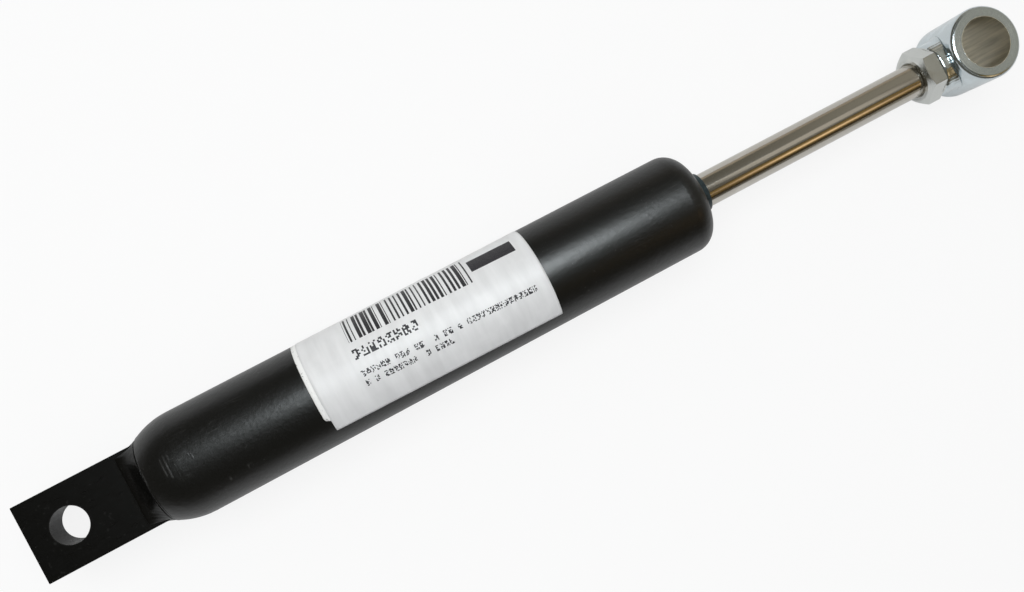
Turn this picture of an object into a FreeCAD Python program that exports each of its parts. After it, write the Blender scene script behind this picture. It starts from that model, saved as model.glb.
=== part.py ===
import FreeCAD, Part
import Sketcher
import math
import os

# Overrun damper of a trailer coupling: a gas-pressure monotube damper.
# Origin at the centre of the lug bore, +X along the rod towards the rod eye,
# +Z along the lug bore. All sizes are in millimetres.
# Each piece is drawn in its own frame and placed at its station along X.

doc = FreeCAD.newDocument("OverrunDamper")
sheet = doc.addObject("Spreadsheet::Sheet", "Sizes")
# Turns a piece that is drawn round Z so that it lies round X
AXIAL = FreeCAD.Rotation(FreeCAD.Vector(0, 1, 0), 90)


class Size:
    """A length in millimetres together with the expression that gives it."""

    def __init__(self, value, text):
        self.value = value
        self.text = text

    def joined(self, other, sign, value):
        """The size that an operation with another size gives."""
        return Size(value, f"({self.text} {sign} {sized(other).text})")

    def __add__(self, other):
        return self.joined(other, "+", self.value + sized(other).value)

    def __sub__(self, other):
        return self.joined(other, "-", self.value - sized(other).value)

    def __mul__(self, other):
        return self.joined(other, "*", self.value * sized(other).value)

    def __truediv__(self, other):
        return self.joined(other, "/", self.value / sized(other).value)

    def __neg__(self):
        return Size(-self.value, f"(0 - {self.text})")


def sized(number):
    """A plain number as a size, and a size as it is."""
    return number if isinstance(number, Size) else Size(number, str(number))


def root(square):
    """The square root of a size."""
    return Size(math.sqrt(square.value), f"sqrt({square.text})")


sheet_row = 0


def size(name, value, meaning):
    """Writes one driving dimension into the sheet and returns it."""
    global sheet_row
    sheet_row += 1
    sheet.set(f"A{sheet_row}", name)
    sheet.set(f"B{sheet_row}", str(value))
    sheet.set(f"C{sheet_row}", meaning)
    sheet.setAlias(f"B{sheet_row}", name)
    return Size(value, f"Sizes.{name}")


# Tube
tube_od = size("tube_od", 47, "outside diameter of the tube")
tube_wall = size("tube_wall", 3.5, "wall of the tube")
housing_length = size("housing_length", 265, "rolled rear edge to front face")
shoulder_radius = size("shoulder_radius", 32, "outer radius of the rolled rear shoulder")
neck_od = size("neck_od", 39.8, "outside diameter of the rolled rear edge")
front_radius = size("front_radius", 9.5, "outer radius of the rolled front edge")
mouth_diameter = size("mouth_diameter", 27.4, "opening left by the rolled front lip")

# Mounting lug and its weld
lug_width = size("lug_width", 35, "width of the flat lug")
lug_thickness = size("lug_thickness", 15, "thickness of the flat lug")
lug_bore = size("lug_bore", 16, "diameter of the lug bore")
lug_end = size("lug_end", 17.5, "bore centre to the free end of the lug")
lug_edge = size("lug_edge", 0.6, "rounding of the long edges of the flat bar")
neck_offset = size("neck_offset", 37, "bore centre to the rolled rear edge")
neck_edge = size("neck_edge", 0.8, "rounding of the rear edge of the tube")
bead_length = size("bead_length", 10, "leg of the lug weld along the flat faces of the lug")
bead_toe = size("bead_toe", 0.5, "height of the lug weld at its toe")
bead_inset = size("bead_inset", 0.5, "rolled rear edge left bare outside the lug weld")
bead_toe_inset = size("bead_toe_inset", 0.6, "toe of the lug weld narrower than the lug on each side")
bead_toe_corner = size("bead_toe_corner", 2.6, "corner radius of the lug weld at its toe")
bead_middle_inset = size("bead_middle_inset", 0.1, "lug weld narrower than the lug on each side at half its leg")
bead_middle_corner = size("bead_middle_corner", 8, "corner radius of the lug weld at half its leg")
bead_root_flat = size("bead_root_flat", 0.35, "lug weld flatter than round where it meets the tube")
bead_sag = size("bead_sag", 1.8, "hollow of the lug weld below a straight fillet")

# Fits and clearances
static_fit = size("static_fit", 0.04, "radial play of pieces that stay put")
running_fit = size("running_fit", 0.05, "radial play of pieces that slide")
stack_gap = size("stack_gap", 0.04, "axial play between stacked pieces")

# Base cap and its ring
cap_length = size("cap_length", 24, "length of the base cap")
cap_recess_diameter = size("cap_recess_diameter", 24, "diameter of the recess in the base cap")
cap_recess_depth = size("cap_recess_depth", 8, "depth of the recess in the base cap")
cap_recess_draft = size("cap_recess_draft", 2, "recess in the base cap narrower at its bottom by this")
cap_groove_offset = size("cap_groove_offset", 3.2, "groove of the base cap to its inner face")
edge_break = size("edge_break", 0.8, "chamfer of turned edges")
ring_groove_depth = size("ring_groove_depth", 2.6, "depth of the grooves for sealing rings")
ring_groove_width = size("ring_groove_width", 3.4, "width of the grooves for sealing rings")

# Floating piston between gas and oil
gas_length = size("gas_length", 29, "length of the gas space with the rod out")
floating_length = size("floating_length", 18, "length of the floating piston")
floating_skirt = size("floating_skirt", 5, "wall of the skirt of the floating piston")
floating_crown = size("floating_crown", 6, "thickness of the crown of the floating piston")
floating_groove_offset = size("floating_groove_offset", 3, "ring groove to the oil side")
floating_band_width = size("floating_band_width", 5, "width of the guide band of the floating piston")
floating_band_offset = size("floating_band_offset", 3, "guide band to the gas side")
band_thickness = size("band_thickness", 1.4, "thickness of the guide bands")

# Rod guide and seals
cover_land = size("cover_land", 1.5, "straight land of the seal cover behind its rounded edge")
cover_proud = size("cover_proud", 0.6, "seal cover standing proud of the front face")
cover_bore = size("cover_bore", 24, "bore of the seal cover")
guide_length = size("guide_length", 28, "length of the rod guide")
seal_diameter = size("seal_diameter", 26, "outside diameter of the rod seal")
seal_length = size("seal_length", 8.5, "length of the rod seal")
seal_groove = size("seal_groove", 2.2, "width of the grooves between the lips of the rod seal")
seal_draft = size("seal_draft", 0.55, "grooves of the rod seal narrower at the bottom by this on each flank")
seal_lip_depth = size("seal_lip_depth", 3.2, "depth of the grooves between the lips of the rod seal")
guide_ring_offset = size("guide_ring_offset", 11, "ring groove of the rod guide to its front face")
guide_nose_diameter = size("guide_nose_diameter", 31, "diameter of the nose of the rod guide")
guide_nose_length = size("guide_nose_length", 9, "length of the nose of the rod guide")
bush_wall = size("bush_wall", 1.5, "wall of the guide bush")
bush_length = size("bush_length", 15, "length of the guide bush")
bush_offset = size("bush_offset", 1.5, "guide bush to the inner face of the rod guide")
wiper_recess = size("wiper_recess", 0.9, "body of the wiper seal below the face of the seal cover")
wiper_lip = size("wiper_lip", 5, "lip of the wiper seal in front of its body")
wiper_throat = size("wiper_throat", 1.3, "width of the hollow behind the lip of the wiper seal")
wiper_edge = size("wiper_edge", 0.6, "chamfer of the outer edge of the wiper seal")
wiper_lip_wall = size("wiper_lip_wall", 1.2, "thickness of the lip of the wiper seal")
stop_ring_wire = size("stop_ring_wire", 1.8, "axial thickness of the stop ring of the rod guide")
stop_ring_depth = size("stop_ring_depth", 1.2, "stop ring sunk into the tube wall")
stop_ring_width = size("stop_ring_width", 2.9, "radial width of the stop ring")
stop_ring_angle = size("stop_ring_angle", 342, "arc of the open stop ring in degrees")

# Piston rod
rod_diameter = size("rod_diameter", 16, "diameter of the piston rod")
rod_reach = size("rod_reach", 154.4, "front face to the centre of the rod eye with the rod out")
spigot_diameter = size("spigot_diameter", 12, "diameter of the rod where the piston sits")
spigot_spare = size("spigot_spare", 2, "spigot standing out of the piston nut")
thread_relief = size("thread_relief", 0.6, "depth of the undercut behind the rod thread")
thread_relief_length = size("thread_relief_length", 3, "length of the undercut behind the rod thread")
thread_relief_offset = size("thread_relief_offset", 1, "undercut of the rod thread inside the hex socket")
rod_end_gap = size("rod_end_gap", 0.16, "end of the rod short of the eye barrel")
stop_collar_length = size("stop_collar_length", 4, "length of the rebound stop collar")
stop_collar_diameter = size("stop_collar_diameter", 24, "outside diameter of the rebound stop collar")
stop_collar_depth = size("stop_collar_depth", 0.9, "rebound stop collar sunk into the rod")
stop_collar_offset = size("stop_collar_offset", 4, "rebound stop collar to the rod shoulder")
bumper_length = size("bumper_length", 10, "length of the rebound bumper")
bumper_diameter = size("bumper_diameter", 29, "outside diameter of the rebound bumper")
bumper_flank = size("bumper_flank", 2, "length of the sloping ends of the rebound bumper")
bumper_lobe = size("bumper_lobe", 1.5, "length of each lobe of the rebound bumper")
bumper_waist = size("bumper_waist", 2.2, "depth of the waist of the rebound bumper")
rest_gap = size("rest_gap", 0.3, "rebound bumper to rod guide with the rod out")

# Piston and valve discs
piston_length = size("piston_length", 16, "length of the piston")
piston_play = size("piston_play", 0.25, "radial gap between piston and tube")
piston_band_width = size("piston_band_width", 7, "width of the piston band")
seat_depth = size("seat_depth", 1.2, "depth of the ring channel under the valve discs")
seat_inner_diameter = size("seat_inner_diameter", 18, "inner diameter of the ring channel")
seat_outer_diameter = size("seat_outer_diameter", 28, "outer diameter of the ring channel")
port_count = size("port_count", 6, "ports of each direction")
port_diameter = size("port_diameter", 3, "diameter of the ports")
port_inner_radius = size("port_inner_radius", 11.6, "ports from the axis under the discs")
port_outer_radius = size("port_outer_radius", 17.2, "ports from the axis outside the discs")
disc_thickness = size("disc_thickness", 0.4, "thickness of one valve disc")
disc_diameter = size("disc_diameter", 30.8, "diameter of the valve disc on the seat")
disc_step = size("disc_step", 3.6, "each further valve disc smaller by this")
support_diameter = size("support_diameter", 20, "diameter of the support washers")
support_thickness = size("support_thickness", 2.5, "thickness of the support washers")
piston_nut_flats = size("piston_nut_flats", 19, "width across flats of the piston nut")
piston_nut_face = size("piston_nut_face", 18, "flat face left by the chamfer of the piston nut")
piston_nut_length = size("piston_nut_length", 10, "height of the piston nut")

# Rod eye
eye_od = size("eye_od", 35, "outside diameter of the eye barrel")
eye_bore = size("eye_bore", 24, "bore of the eye barrel")
eye_length = size("eye_length", 33, "length of the eye barrel")
eye_edge = size("eye_edge", 2, "rounding of the outer edges of the eye barrel")
socket_flats = size("socket_flats", 24, "width across flats of the hex socket")
socket_reach = size("socket_reach", 31, "face of the hex socket to the eye centre")
socket_face_diameter = size("socket_face_diameter", 20.8, "flat face left by the chamfer of the socket")
socket_mouth = size("socket_mouth", 0.8, "countersink of the hex socket")
socket_back_diameter = size("socket_back_diameter", 26.6, "flat face left by the chamfer behind the hexagon")
socket_neck_diameter = size("socket_neck_diameter", 21, "round neck of the socket under the weld")
eye_bead_reach = size("eye_bead_reach", 22.5, "end of the hexagon, where the eye weld starts, to the eye centre")
eye_bead_toe = size("eye_bead_toe", 0.3, "toe of the eye weld over the flats of the socket")
eye_bead_slope = size("eye_bead_slope", 0.9, "length of the sloping toe of the eye weld")
eye_bead_step = size("eye_bead_step", 1, "eye weld over the flats of the socket behind its toe")
eye_bead_rise = size("eye_bead_rise", 2.6, "eye weld over the flats of the socket at the barrel")
eye_bead_run = size("eye_bead_run", 1.5, "eye weld running on into the barrel before it is cut to meet it")
eye_bead_hollow = size("eye_bead_hollow", 40, "radius of the hollow of the eye weld")

DISCS_PER_SIDE = 3
HEX_CHAMFER_ANGLE = 30
# A radius past the corners of a hexagon, as a share of its width across flats
BEYOND_CORNERS = 0.7
# How far two sizes or directions may differ and still count as the same
TOLERANCE = 0.01

# Radii and stations that follow from the sizes above
tube_r = tube_od / 2
bore_r = tube_r - tube_wall
neck_r = neck_od / 2
rod_r = rod_diameter / 2
spigot_r = spigot_diameter / 2
seated_r = bore_r - static_fit
shoulder_length = root(shoulder_radius * shoulder_radius
                       - (neck_r - tube_r + shoulder_radius) * (neck_r - tube_r + shoulder_radius))

front_x = neck_offset + housing_length
eye_x = front_x + rod_reach
cover_x = front_x - front_radius - cover_land
guide_x = cover_x - stack_gap - guide_length
stop_ring_x = guide_x - stack_gap - stop_ring_wire
stack_length = (support_thickness + disc_thickness * DISCS_PER_SIDE) * 2 + piston_length
shoulder_x = guide_x - rest_gap - bumper_length - stop_collar_length - stop_collar_offset
piston_x = shoulder_x - support_thickness - disc_thickness * DISCS_PER_SIDE - piston_length
nut_x = shoulder_x - stack_length - piston_nut_length
floating_x = neck_offset + cap_length + gas_length


def new_body(label, station):
    """An empty body whose frame stands at a station along X."""
    body = doc.addObject("PartDesign::Body", label)
    body.Placement = FreeCAD.Placement(FreeCAD.Vector(sized(station).value, 0, 0), FreeCAD.Rotation())
    if isinstance(station, Size):
        body.setExpression("Placement.Base.x", station.text)
    return body


def new_sketch(body, plane, lift=None):
    """A sketch on one of the body's own origin planes, lifted along its normal."""
    sketch = body.newObject("Sketcher::SketchObject", f"{body.Label}_sketch")
    support = [feature for feature in body.Origin.OriginFeatures if feature.Role == plane][0]
    sketch.AttachmentSupport = [(support, "")]
    sketch.MapMode = "FlatFace"
    if lift is not None:
        sketch.AttachmentOffset = FreeCAD.Placement(FreeCAD.Vector(0, 0, lift.value), FreeCAD.Rotation())
        sketch.setExpression("AttachmentOffset.Base.z", lift.text)
    return sketch


def bind(sketch, kind, references, value):
    """A driving dimension of a sketch, tied to the sheet."""
    number = sketch.addConstraint(Sketcher.Constraint(kind, *references, value.value))
    sketch.setExpression(f"Constraints[{number}]", value.text)


def pin_point(sketch, geometry, end, across, up):
    """Holds a point of a sketch at a distance across and up from its origin."""
    for kind, axis, value in (("DistanceX", -2, sized(across)), ("DistanceY", -1, sized(up))):
        if value.value == 0:
            sketch.addConstraint(Sketcher.Constraint("PointOnObject", geometry, end, axis))
        else:
            bind(sketch, kind, (-1, 1, geometry, end), value)


def draw_edge(sketch, start, end, radius=None, turn=1):
    """A line, or an arc to the left for turn 1 and to the right for turn -1. Returns its two end numbers."""
    if radius is None:
        sketch.addGeometry(Part.LineSegment(start, end), False)
        return 1, 2
    chord = end - start
    left = FreeCAD.Vector(-chord.y, chord.x, 0).normalize()
    height = math.sqrt(radius * radius - chord.Length ** 2 / 4)
    centre = start + chord * 0.5 + left * (height * turn)
    circle = Part.Circle(centre, FreeCAD.Vector(0, 0, 1), radius)
    start_angle = math.atan2(start.y - centre.y, start.x - centre.x)
    end_angle = math.atan2(end.y - centre.y, end.x - centre.x)
    if turn > 0:
        sketch.addGeometry(Part.ArcOfCircle(circle, start_angle, end_angle), False)
        return 1, 2
    sketch.addGeometry(Part.ArcOfCircle(circle, end_angle, start_angle), False)
    return 2, 1


def draw_outline(sketch, points):
    """A closed outline. A point is (x, y), or (x, y, radius, turn) where an arc leads up to it."""
    corners = [FreeCAD.Vector(sized(point[0]).value, sized(point[1]).value, 0) for point in points]
    count = len(points)
    ends = []
    for index in range(count):
        after = (index + 1) % count
        if len(points[after]) == 4:
            radius, turn = points[after][2], points[after][3]
            ends.append(draw_edge(sketch, corners[index], corners[after], radius.value, turn))
        else:
            ends.append(draw_edge(sketch, corners[index], corners[after]))
    for index in range(count):
        after = (index + 1) % count
        sketch.addConstraint(Sketcher.Constraint("Coincident", index, ends[index][1], after, ends[after][0]))
    for index, point in enumerate(points):
        pin_point(sketch, index, ends[index][0], point[0], point[1])
        if len(point) == 4:
            bind(sketch, "Radius", ((index - 1) % count,), point[2])


def draw_circle(sketch, radius, across=0, up=0):
    """A circle whose centre is held at a distance across and up from the origin."""
    centre = FreeCAD.Vector(sized(across).value, sized(up).value, 0)
    circle = sketch.addGeometry(Part.Circle(centre, FreeCAD.Vector(0, 0, 1), radius.value), False)
    pin_point(sketch, circle, 3, across, up)
    bind(sketch, "Radius", (circle,), radius)


def draw_rectangle(sketch, left, right, half_height):
    """A rectangle from left to right, as far above the axis as below it."""
    corners = [(left, -half_height), (right, -half_height), (right, half_height), (left, half_height)]
    draw_outline(sketch, corners)


def draw_rounded_rectangle(sketch, half_width, half_height, corner):
    """A rectangle about the origin with four round corners."""
    inner_width = half_width - corner
    inner_height = half_height - corner
    draw_outline(sketch, [
        (-inner_width, -half_height, corner, 1),
        (inner_width, -half_height),
        (half_width, -inner_height, corner, 1),
        (half_width, inner_height),
        (inner_width, half_height, corner, 1),
        (-inner_width, half_height),
        (-half_width, inner_height, corner, 1),
        (-half_width, -inner_height),
    ])


def draw_hexagon(sketch, flats):
    """A hexagon about the origin with two flats square to the sketch's upward axis."""
    corner = flats / math.sqrt(3)
    half_corner = corner / 2
    half_flats = flats / 2
    draw_outline(sketch, [
        (corner, 0),
        (half_corner, half_flats),
        (-half_corner, half_flats),
        (-corner, 0),
        (-half_corner, -half_flats),
        (half_corner, -half_flats),
    ])


def revolve(body, sketch, kind="Revolution", axis="H_Axis"):
    """Turns a sketch about one of its own axes, as a solid or as a groove."""
    feature = body.newObject(f"PartDesign::{kind}", f"{body.Label}_{kind.lower()}")
    feature.Profile = sketch
    feature.ReferenceAxis = (sketch, [axis])
    feature.Angle = 360
    return feature


def turned(label, station, points):
    """A turned piece from its half section, given as points (along the axis, from the axis)."""
    body = new_body(label, station)
    sketch = new_sketch(body, "XY_Plane")
    draw_outline(sketch, points)
    revolve(body, sketch)
    return body


def extrude(body, sketch, length, kind="Pad", symmetric=False, reverse=False):
    """Pads or pockets a sketch by a length."""
    feature = body.newObject(f"PartDesign::{kind}", f"{body.Label}_{kind.lower()}")
    feature.Profile = sketch
    feature.Type = "Length"
    feature.Length = length.value
    feature.setExpression("Length", length.text)
    feature.SideType = "Symmetric" if symmetric else "One side"
    feature.Reversed = reverse
    return feature


def ring(label, station, inner, outer, length, chamfer=None):
    """A plain turned ring, with its outer edges broken where a chamfer is given."""
    if chamfer is None:
        points = [(0, inner), (length, inner), (length, outer), (0, outer)]
    else:
        points = [
            (0, inner), (length, inner), (length, outer - chamfer), (length - chamfer, outer),
            (chamfer, outer), (0, outer - chamfer),
        ]
    return turned(label, station, points)


def sealing_ring(label, station, groove_bottom, play):
    """A round rubber ring lying between the bottom of its groove and the tube bore."""
    torus = doc.addObject("Part::Torus", label)
    section = (bore_r - groove_bottom) / 2 - play
    middle = (bore_r + groove_bottom) / 2
    torus.setExpression("Radius1", middle.text)
    torus.setExpression("Radius2", section.text)
    torus.Placement = FreeCAD.Placement(FreeCAD.Vector(station.value, 0, 0), AXIAL)
    torus.setExpression("Placement.Base.x", station.text)
    return torus


def cylinder_tube():
    """The tube, rolled in over the base cap at the rear and over the seal cover in front."""
    inner_radius = shoulder_radius - tube_wall
    inner_rise = root(inner_radius * inner_radius - shoulder_length * shoulder_length)
    inner_neck = tube_r - shoulder_radius + inner_rise
    front_corner = tube_r - front_radius
    groove_rear = stop_ring_x - neck_offset - stack_gap
    groove_front = guide_x - neck_offset
    groove_r = bore_r + stop_ring_depth + static_fit
    turned("cylinder_tube", neck_offset, [
        (0, inner_neck, inner_radius, 1),
        (0, neck_r - neck_edge),
        (neck_edge, neck_r, neck_edge, -1),
        (neck_edge + shoulder_length, tube_r, shoulder_radius, -1),
        (housing_length - front_radius, tube_r),
        (housing_length, front_corner, front_radius, -1),
        (housing_length, mouth_diameter / 2),
        (housing_length - tube_wall, mouth_diameter / 2),
        (housing_length - tube_wall, front_corner),
        (housing_length - front_radius, bore_r, front_radius - tube_wall, 1),
        (groove_front, bore_r),
        (groove_front, groove_r),
        (groove_rear, groove_r),
        (groove_rear, bore_r),
        (shoulder_length, bore_r),
    ])


def base_cap():
    """The steel plug that closes the rear of the tube, with its groove and recess."""
    arc_radius = shoulder_radius - tube_wall - static_fit
    cap_neck = tube_r - shoulder_radius + root(arc_radius * arc_radius - shoulder_length * shoulder_length)
    groove_front = cap_length - cap_groove_offset
    groove_rear = groove_front - ring_groove_width
    recess_r = cap_recess_diameter / 2
    turned("base_cap", neck_offset, [
        (0, 0),
        (0, cap_neck),
        (shoulder_length, seated_r, arc_radius, -1),
        (groove_rear, seated_r),
        (groove_rear, bore_r - ring_groove_depth),
        (groove_front, bore_r - ring_groove_depth),
        (groove_front, seated_r),
        (cap_length - edge_break, seated_r),
        (cap_length, seated_r - edge_break),
        (cap_length, recess_r),
        (cap_length - cap_recess_depth, recess_r - cap_recess_draft),
        (cap_length - cap_recess_depth, 0),
    ])
    ring_x = neck_offset + groove_rear + ring_groove_width / 2
    sealing_ring("base_o_ring", ring_x, bore_r - ring_groove_depth, static_fit)


def mounting_lug():
    """The flat bar with the bore that the towing frame bolts to."""
    body = new_body("mounting_lug", 0)
    outline = new_sketch(body, "XY_Plane")
    draw_rectangle(outline, -lug_end, neck_offset, lug_width / 2)
    extrude(body, outline, lug_thickness, symmetric=True)
    bore = new_sketch(body, "XY_Plane")
    draw_circle(bore, lug_bore / 2)
    pocket = extrude(body, bore, lug_thickness * 2, kind="Pocket", symmetric=True)
    doc.recompute()
    long_edges = []
    for number, edge in enumerate(pocket.Shape.Edges, 1):
        direction = edge.tangentAt(edge.FirstParameter)
        if edge.Curve.TypeId == "Part::GeomLine" and abs(direction.x) > 1 - TOLERANCE:
            long_edges.append(f"Edge{number}")
    fillet = body.newObject("PartDesign::Fillet", "mounting_lug_fillet")
    fillet.Base = (pocket, long_edges)
    fillet.Radius = lug_edge.value
    fillet.setExpression("Radius", lug_edge.text)


def lug_weld_bead():
    """The weld round the lug, from the flat bar out to the rolled rear edge."""
    body = new_body("lug_weld_bead", neck_offset)
    root_r = neck_r - bead_inset
    toe_height = lug_thickness / 2 + bead_toe
    middle_height = (root_r + toe_height) / 2 - bead_sag
    toe_width = lug_width / 2 - bead_toe_inset
    middle_width = lug_width / 2 - bead_middle_inset
    sections = []
    for lift, half_width, height, corner in (
        (-bead_length, toe_width, toe_height, bead_toe_corner),
        (-bead_length / 2, middle_width, middle_height, bead_middle_corner),
        (None, root_r, root_r - bead_root_flat, root_r - bead_root_flat * 2),
    ):
        sketch = new_sketch(body, "YZ_Plane", lift)
        draw_rounded_rectangle(sketch, half_width, height, corner)
        sections.append(sketch)
    loft = body.newObject("PartDesign::AdditiveLoft", "lug_weld_bead_loft")
    loft.Profile = sections[0]
    loft.Sections = sections[1:]
    cavity = new_sketch(body, "YZ_Plane")
    draw_rectangle(cavity, -lug_width / 2, lug_width / 2, lug_thickness / 2)
    extrude(body, cavity, bead_length * 4, kind="Pocket", symmetric=True)


def floating_piston():
    """The piston that keeps gas and oil apart, with its ring and guide band."""
    outer = bore_r - running_fit
    ring_front = floating_length - floating_groove_offset
    ring_rear = ring_front - ring_groove_width
    band_rear = floating_band_offset
    band_front = floating_band_offset + floating_band_width
    band_bottom = outer - band_thickness
    turned("floating_piston", floating_x, [
        (0, outer - floating_skirt),
        (0, outer),
        (band_rear, outer),
        (band_rear, band_bottom),
        (band_front, band_bottom),
        (band_front, outer),
        (ring_rear, outer),
        (ring_rear, bore_r - ring_groove_depth),
        (ring_front, bore_r - ring_groove_depth),
        (ring_front, outer),
        (floating_length - edge_break, outer),
        (floating_length, outer - edge_break),
        (floating_length, 0),
        (floating_length - floating_crown, 0),
        (floating_length - floating_crown, outer - floating_skirt),
    ])
    ring_x = floating_x + ring_rear + ring_groove_width / 2
    sealing_ring("floating_o_ring", ring_x, bore_r - ring_groove_depth, running_fit)
    ring("floating_band", floating_x + band_rear + stack_gap, band_bottom + static_fit,
         bore_r - running_fit / 2, floating_band_width - stack_gap * 2)


def rod_guide():
    """The guide with its bush, outer ring and the stop ring behind it."""
    seal_r = seal_diameter / 2
    bush_r = rod_r + bush_wall
    nose_r = guide_nose_diameter / 2
    ring_front = guide_length - guide_ring_offset
    ring_rear = ring_front - ring_groove_width
    turned("rod_guide", guide_x, [
        (0, bush_r),
        (0, nose_r),
        (guide_nose_length, nose_r),
        (guide_nose_length, seated_r),
        (ring_rear, seated_r),
        (ring_rear, bore_r - ring_groove_depth),
        (ring_front, bore_r - ring_groove_depth),
        (ring_front, seated_r),
        (guide_length - edge_break, seated_r),
        (guide_length, seated_r - edge_break),
        (guide_length, seal_r),
        (guide_length - seal_length, seal_r),
        (guide_length - seal_length, bush_r),
    ])
    ring("guide_bush", guide_x + bush_offset, rod_r + running_fit, bush_r - static_fit, bush_length)
    ring_x = guide_x + ring_rear + ring_groove_width / 2
    sealing_ring("guide_o_ring", ring_x, bore_r - ring_groove_depth, static_fit)


def guide_stop_ring():
    """The open ring in the groove of the tube that the rod guide stands on."""
    outer = bore_r + stop_ring_depth
    body = ring("guide_stop_ring", stop_ring_x, outer - stop_ring_width, outer, stop_ring_wire)
    turning = body.Tip
    turning.setExpression("Angle", stop_ring_angle.text)


def rod_seal():
    """The rod seal: a ring with a lip on the rod and a lip in the rod guide."""
    inner = rod_r + running_fit
    outer = seal_diameter / 2 - static_fit
    lip = (outer - inner - seal_groove) / 2
    length = seal_length - stack_gap * 2
    turned("rod_seal", guide_x + guide_length - seal_length + stack_gap, [
        (edge_break, inner),
        (0, inner + edge_break),
        (0, inner + lip),
        (seal_lip_depth, inner + lip + seal_draft),
        (seal_lip_depth, outer - lip - seal_draft),
        (0, outer - lip),
        (0, outer),
        (length, outer),
        (length, inner),
    ])


def seal_cover():
    """The flanged steel cover whose rounded edge the rolled front lip of the tube holds down."""
    hub_r = mouth_diameter / 2 - static_fit * 2
    hub_length = cover_land + front_radius + cover_proud
    corner = front_radius - tube_wall - static_fit
    turned("seal_cover", cover_x, [
        (0, cover_bore / 2),
        (0, seated_r),
        (cover_land, seated_r),
        (cover_land + corner, seated_r - corner, corner, -1),
        (cover_land + corner, hub_r),
        (hub_length - edge_break, hub_r),
        (hub_length, hub_r - edge_break),
        (hub_length, cover_bore / 2),
    ])


def wiper_seal():
    """The rubber wiper, whose lip stands out round the rod."""
    inner = rod_r + running_fit
    outer = cover_bore / 2 - static_fit
    length = cover_land + front_radius + cover_proud - wiper_recess
    turned("wiper_seal", cover_x, [
        (0, inner + wiper_throat),
        (0, outer),
        (length, outer),
        (length + wiper_edge, outer - wiper_edge),
        (length, inner + wiper_lip_wall * 2),
        (length + wiper_lip, inner + wiper_lip_wall),
        (length + wiper_lip, inner),
        (length, inner),
        (length - wiper_lip, inner + wiper_throat),
    ])


def piston_rod():
    """The chromed rod: spigot, shoulder, groove for the stop collar, shank and end thread."""
    spigot_length = stack_length + piston_nut_length + spigot_spare
    rod_length = eye_x - eye_od / 2 - rod_end_gap - shoulder_x
    groove_r = rod_r - stop_collar_depth
    groove_front = stop_collar_offset + stop_collar_length
    relief_start = eye_x - socket_reach - shoulder_x + thread_relief_offset
    relief_end = relief_start + thread_relief_length
    relief_r = rod_r - thread_relief
    thread_r = rod_r - static_fit
    turned("piston_rod", shoulder_x, [
        (-spigot_length, 0),
        (-spigot_length, spigot_r - edge_break),
        (edge_break - spigot_length, spigot_r),
        (0, spigot_r),
        (0, rod_r - edge_break),
        (edge_break, rod_r),
        (stop_collar_offset, rod_r),
        (stop_collar_offset, groove_r),
        (groove_front, groove_r),
        (groove_front, rod_r),
        (relief_start, rod_r),
        (relief_start, relief_r),
        (relief_end, relief_r),
        (relief_end + thread_relief, thread_r),
        (rod_length - edge_break, thread_r),
        (rod_length, thread_r - edge_break),
        (rod_length, 0),
    ])


def rebound_stop():
    """The collar in the groove of the rod and the rubber bumper in front of it."""
    collar_x = shoulder_x + stop_collar_offset + stack_gap
    inner = rod_r - stop_collar_depth + static_fit
    length = stop_collar_length - stack_gap * 2
    ring("rebound_stop_collar", collar_x, inner, stop_collar_diameter / 2, length, edge_break)
    outer = bumper_diameter / 2
    waist = outer - bumper_waist
    turned("rebound_bumper", shoulder_x + stop_collar_offset + stop_collar_length, [
        (0, rod_r + static_fit),
        (0, waist),
        (bumper_flank, outer),
        (bumper_flank + bumper_lobe, outer),
        (bumper_length / 2, waist),
        (bumper_length - bumper_flank - bumper_lobe, outer),
        (bumper_length - bumper_flank, outer),
        (bumper_length, waist),
        (bumper_length, rod_r + static_fit),
    ])


def port_set(body, from_rear, angle):
    """One ring of slanting ports, from outside the discs on one face to the seat on the other."""
    turn = (math.cos(math.radians(angle)), math.sin(math.radians(angle)))
    rear_reach = port_outer_radius if from_rear else port_inner_radius
    front_reach = port_inner_radius if from_rear else port_outer_radius
    rear = new_sketch(body, "YZ_Plane", -disc_thickness)
    draw_circle(rear, port_diameter / 2, rear_reach * turn[0], rear_reach * turn[1])
    front = new_sketch(body, "YZ_Plane", piston_length + disc_thickness)
    draw_circle(front, port_diameter / 2, front_reach * turn[0], front_reach * turn[1])
    port = body.newObject("PartDesign::SubtractiveLoft", "piston_port")
    port.Profile = rear
    port.Sections = [front]
    pattern = body.newObject("PartDesign::PolarPattern", "piston_ports")
    pattern.Originals = [port]
    pattern.Axis = (rear, ["N_Axis"])
    pattern.Angle = 360
    pattern.Occurrences = int(port_count.value)
    pattern.setExpression("Occurrences", port_count.text)
    body.Tip = pattern


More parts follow.
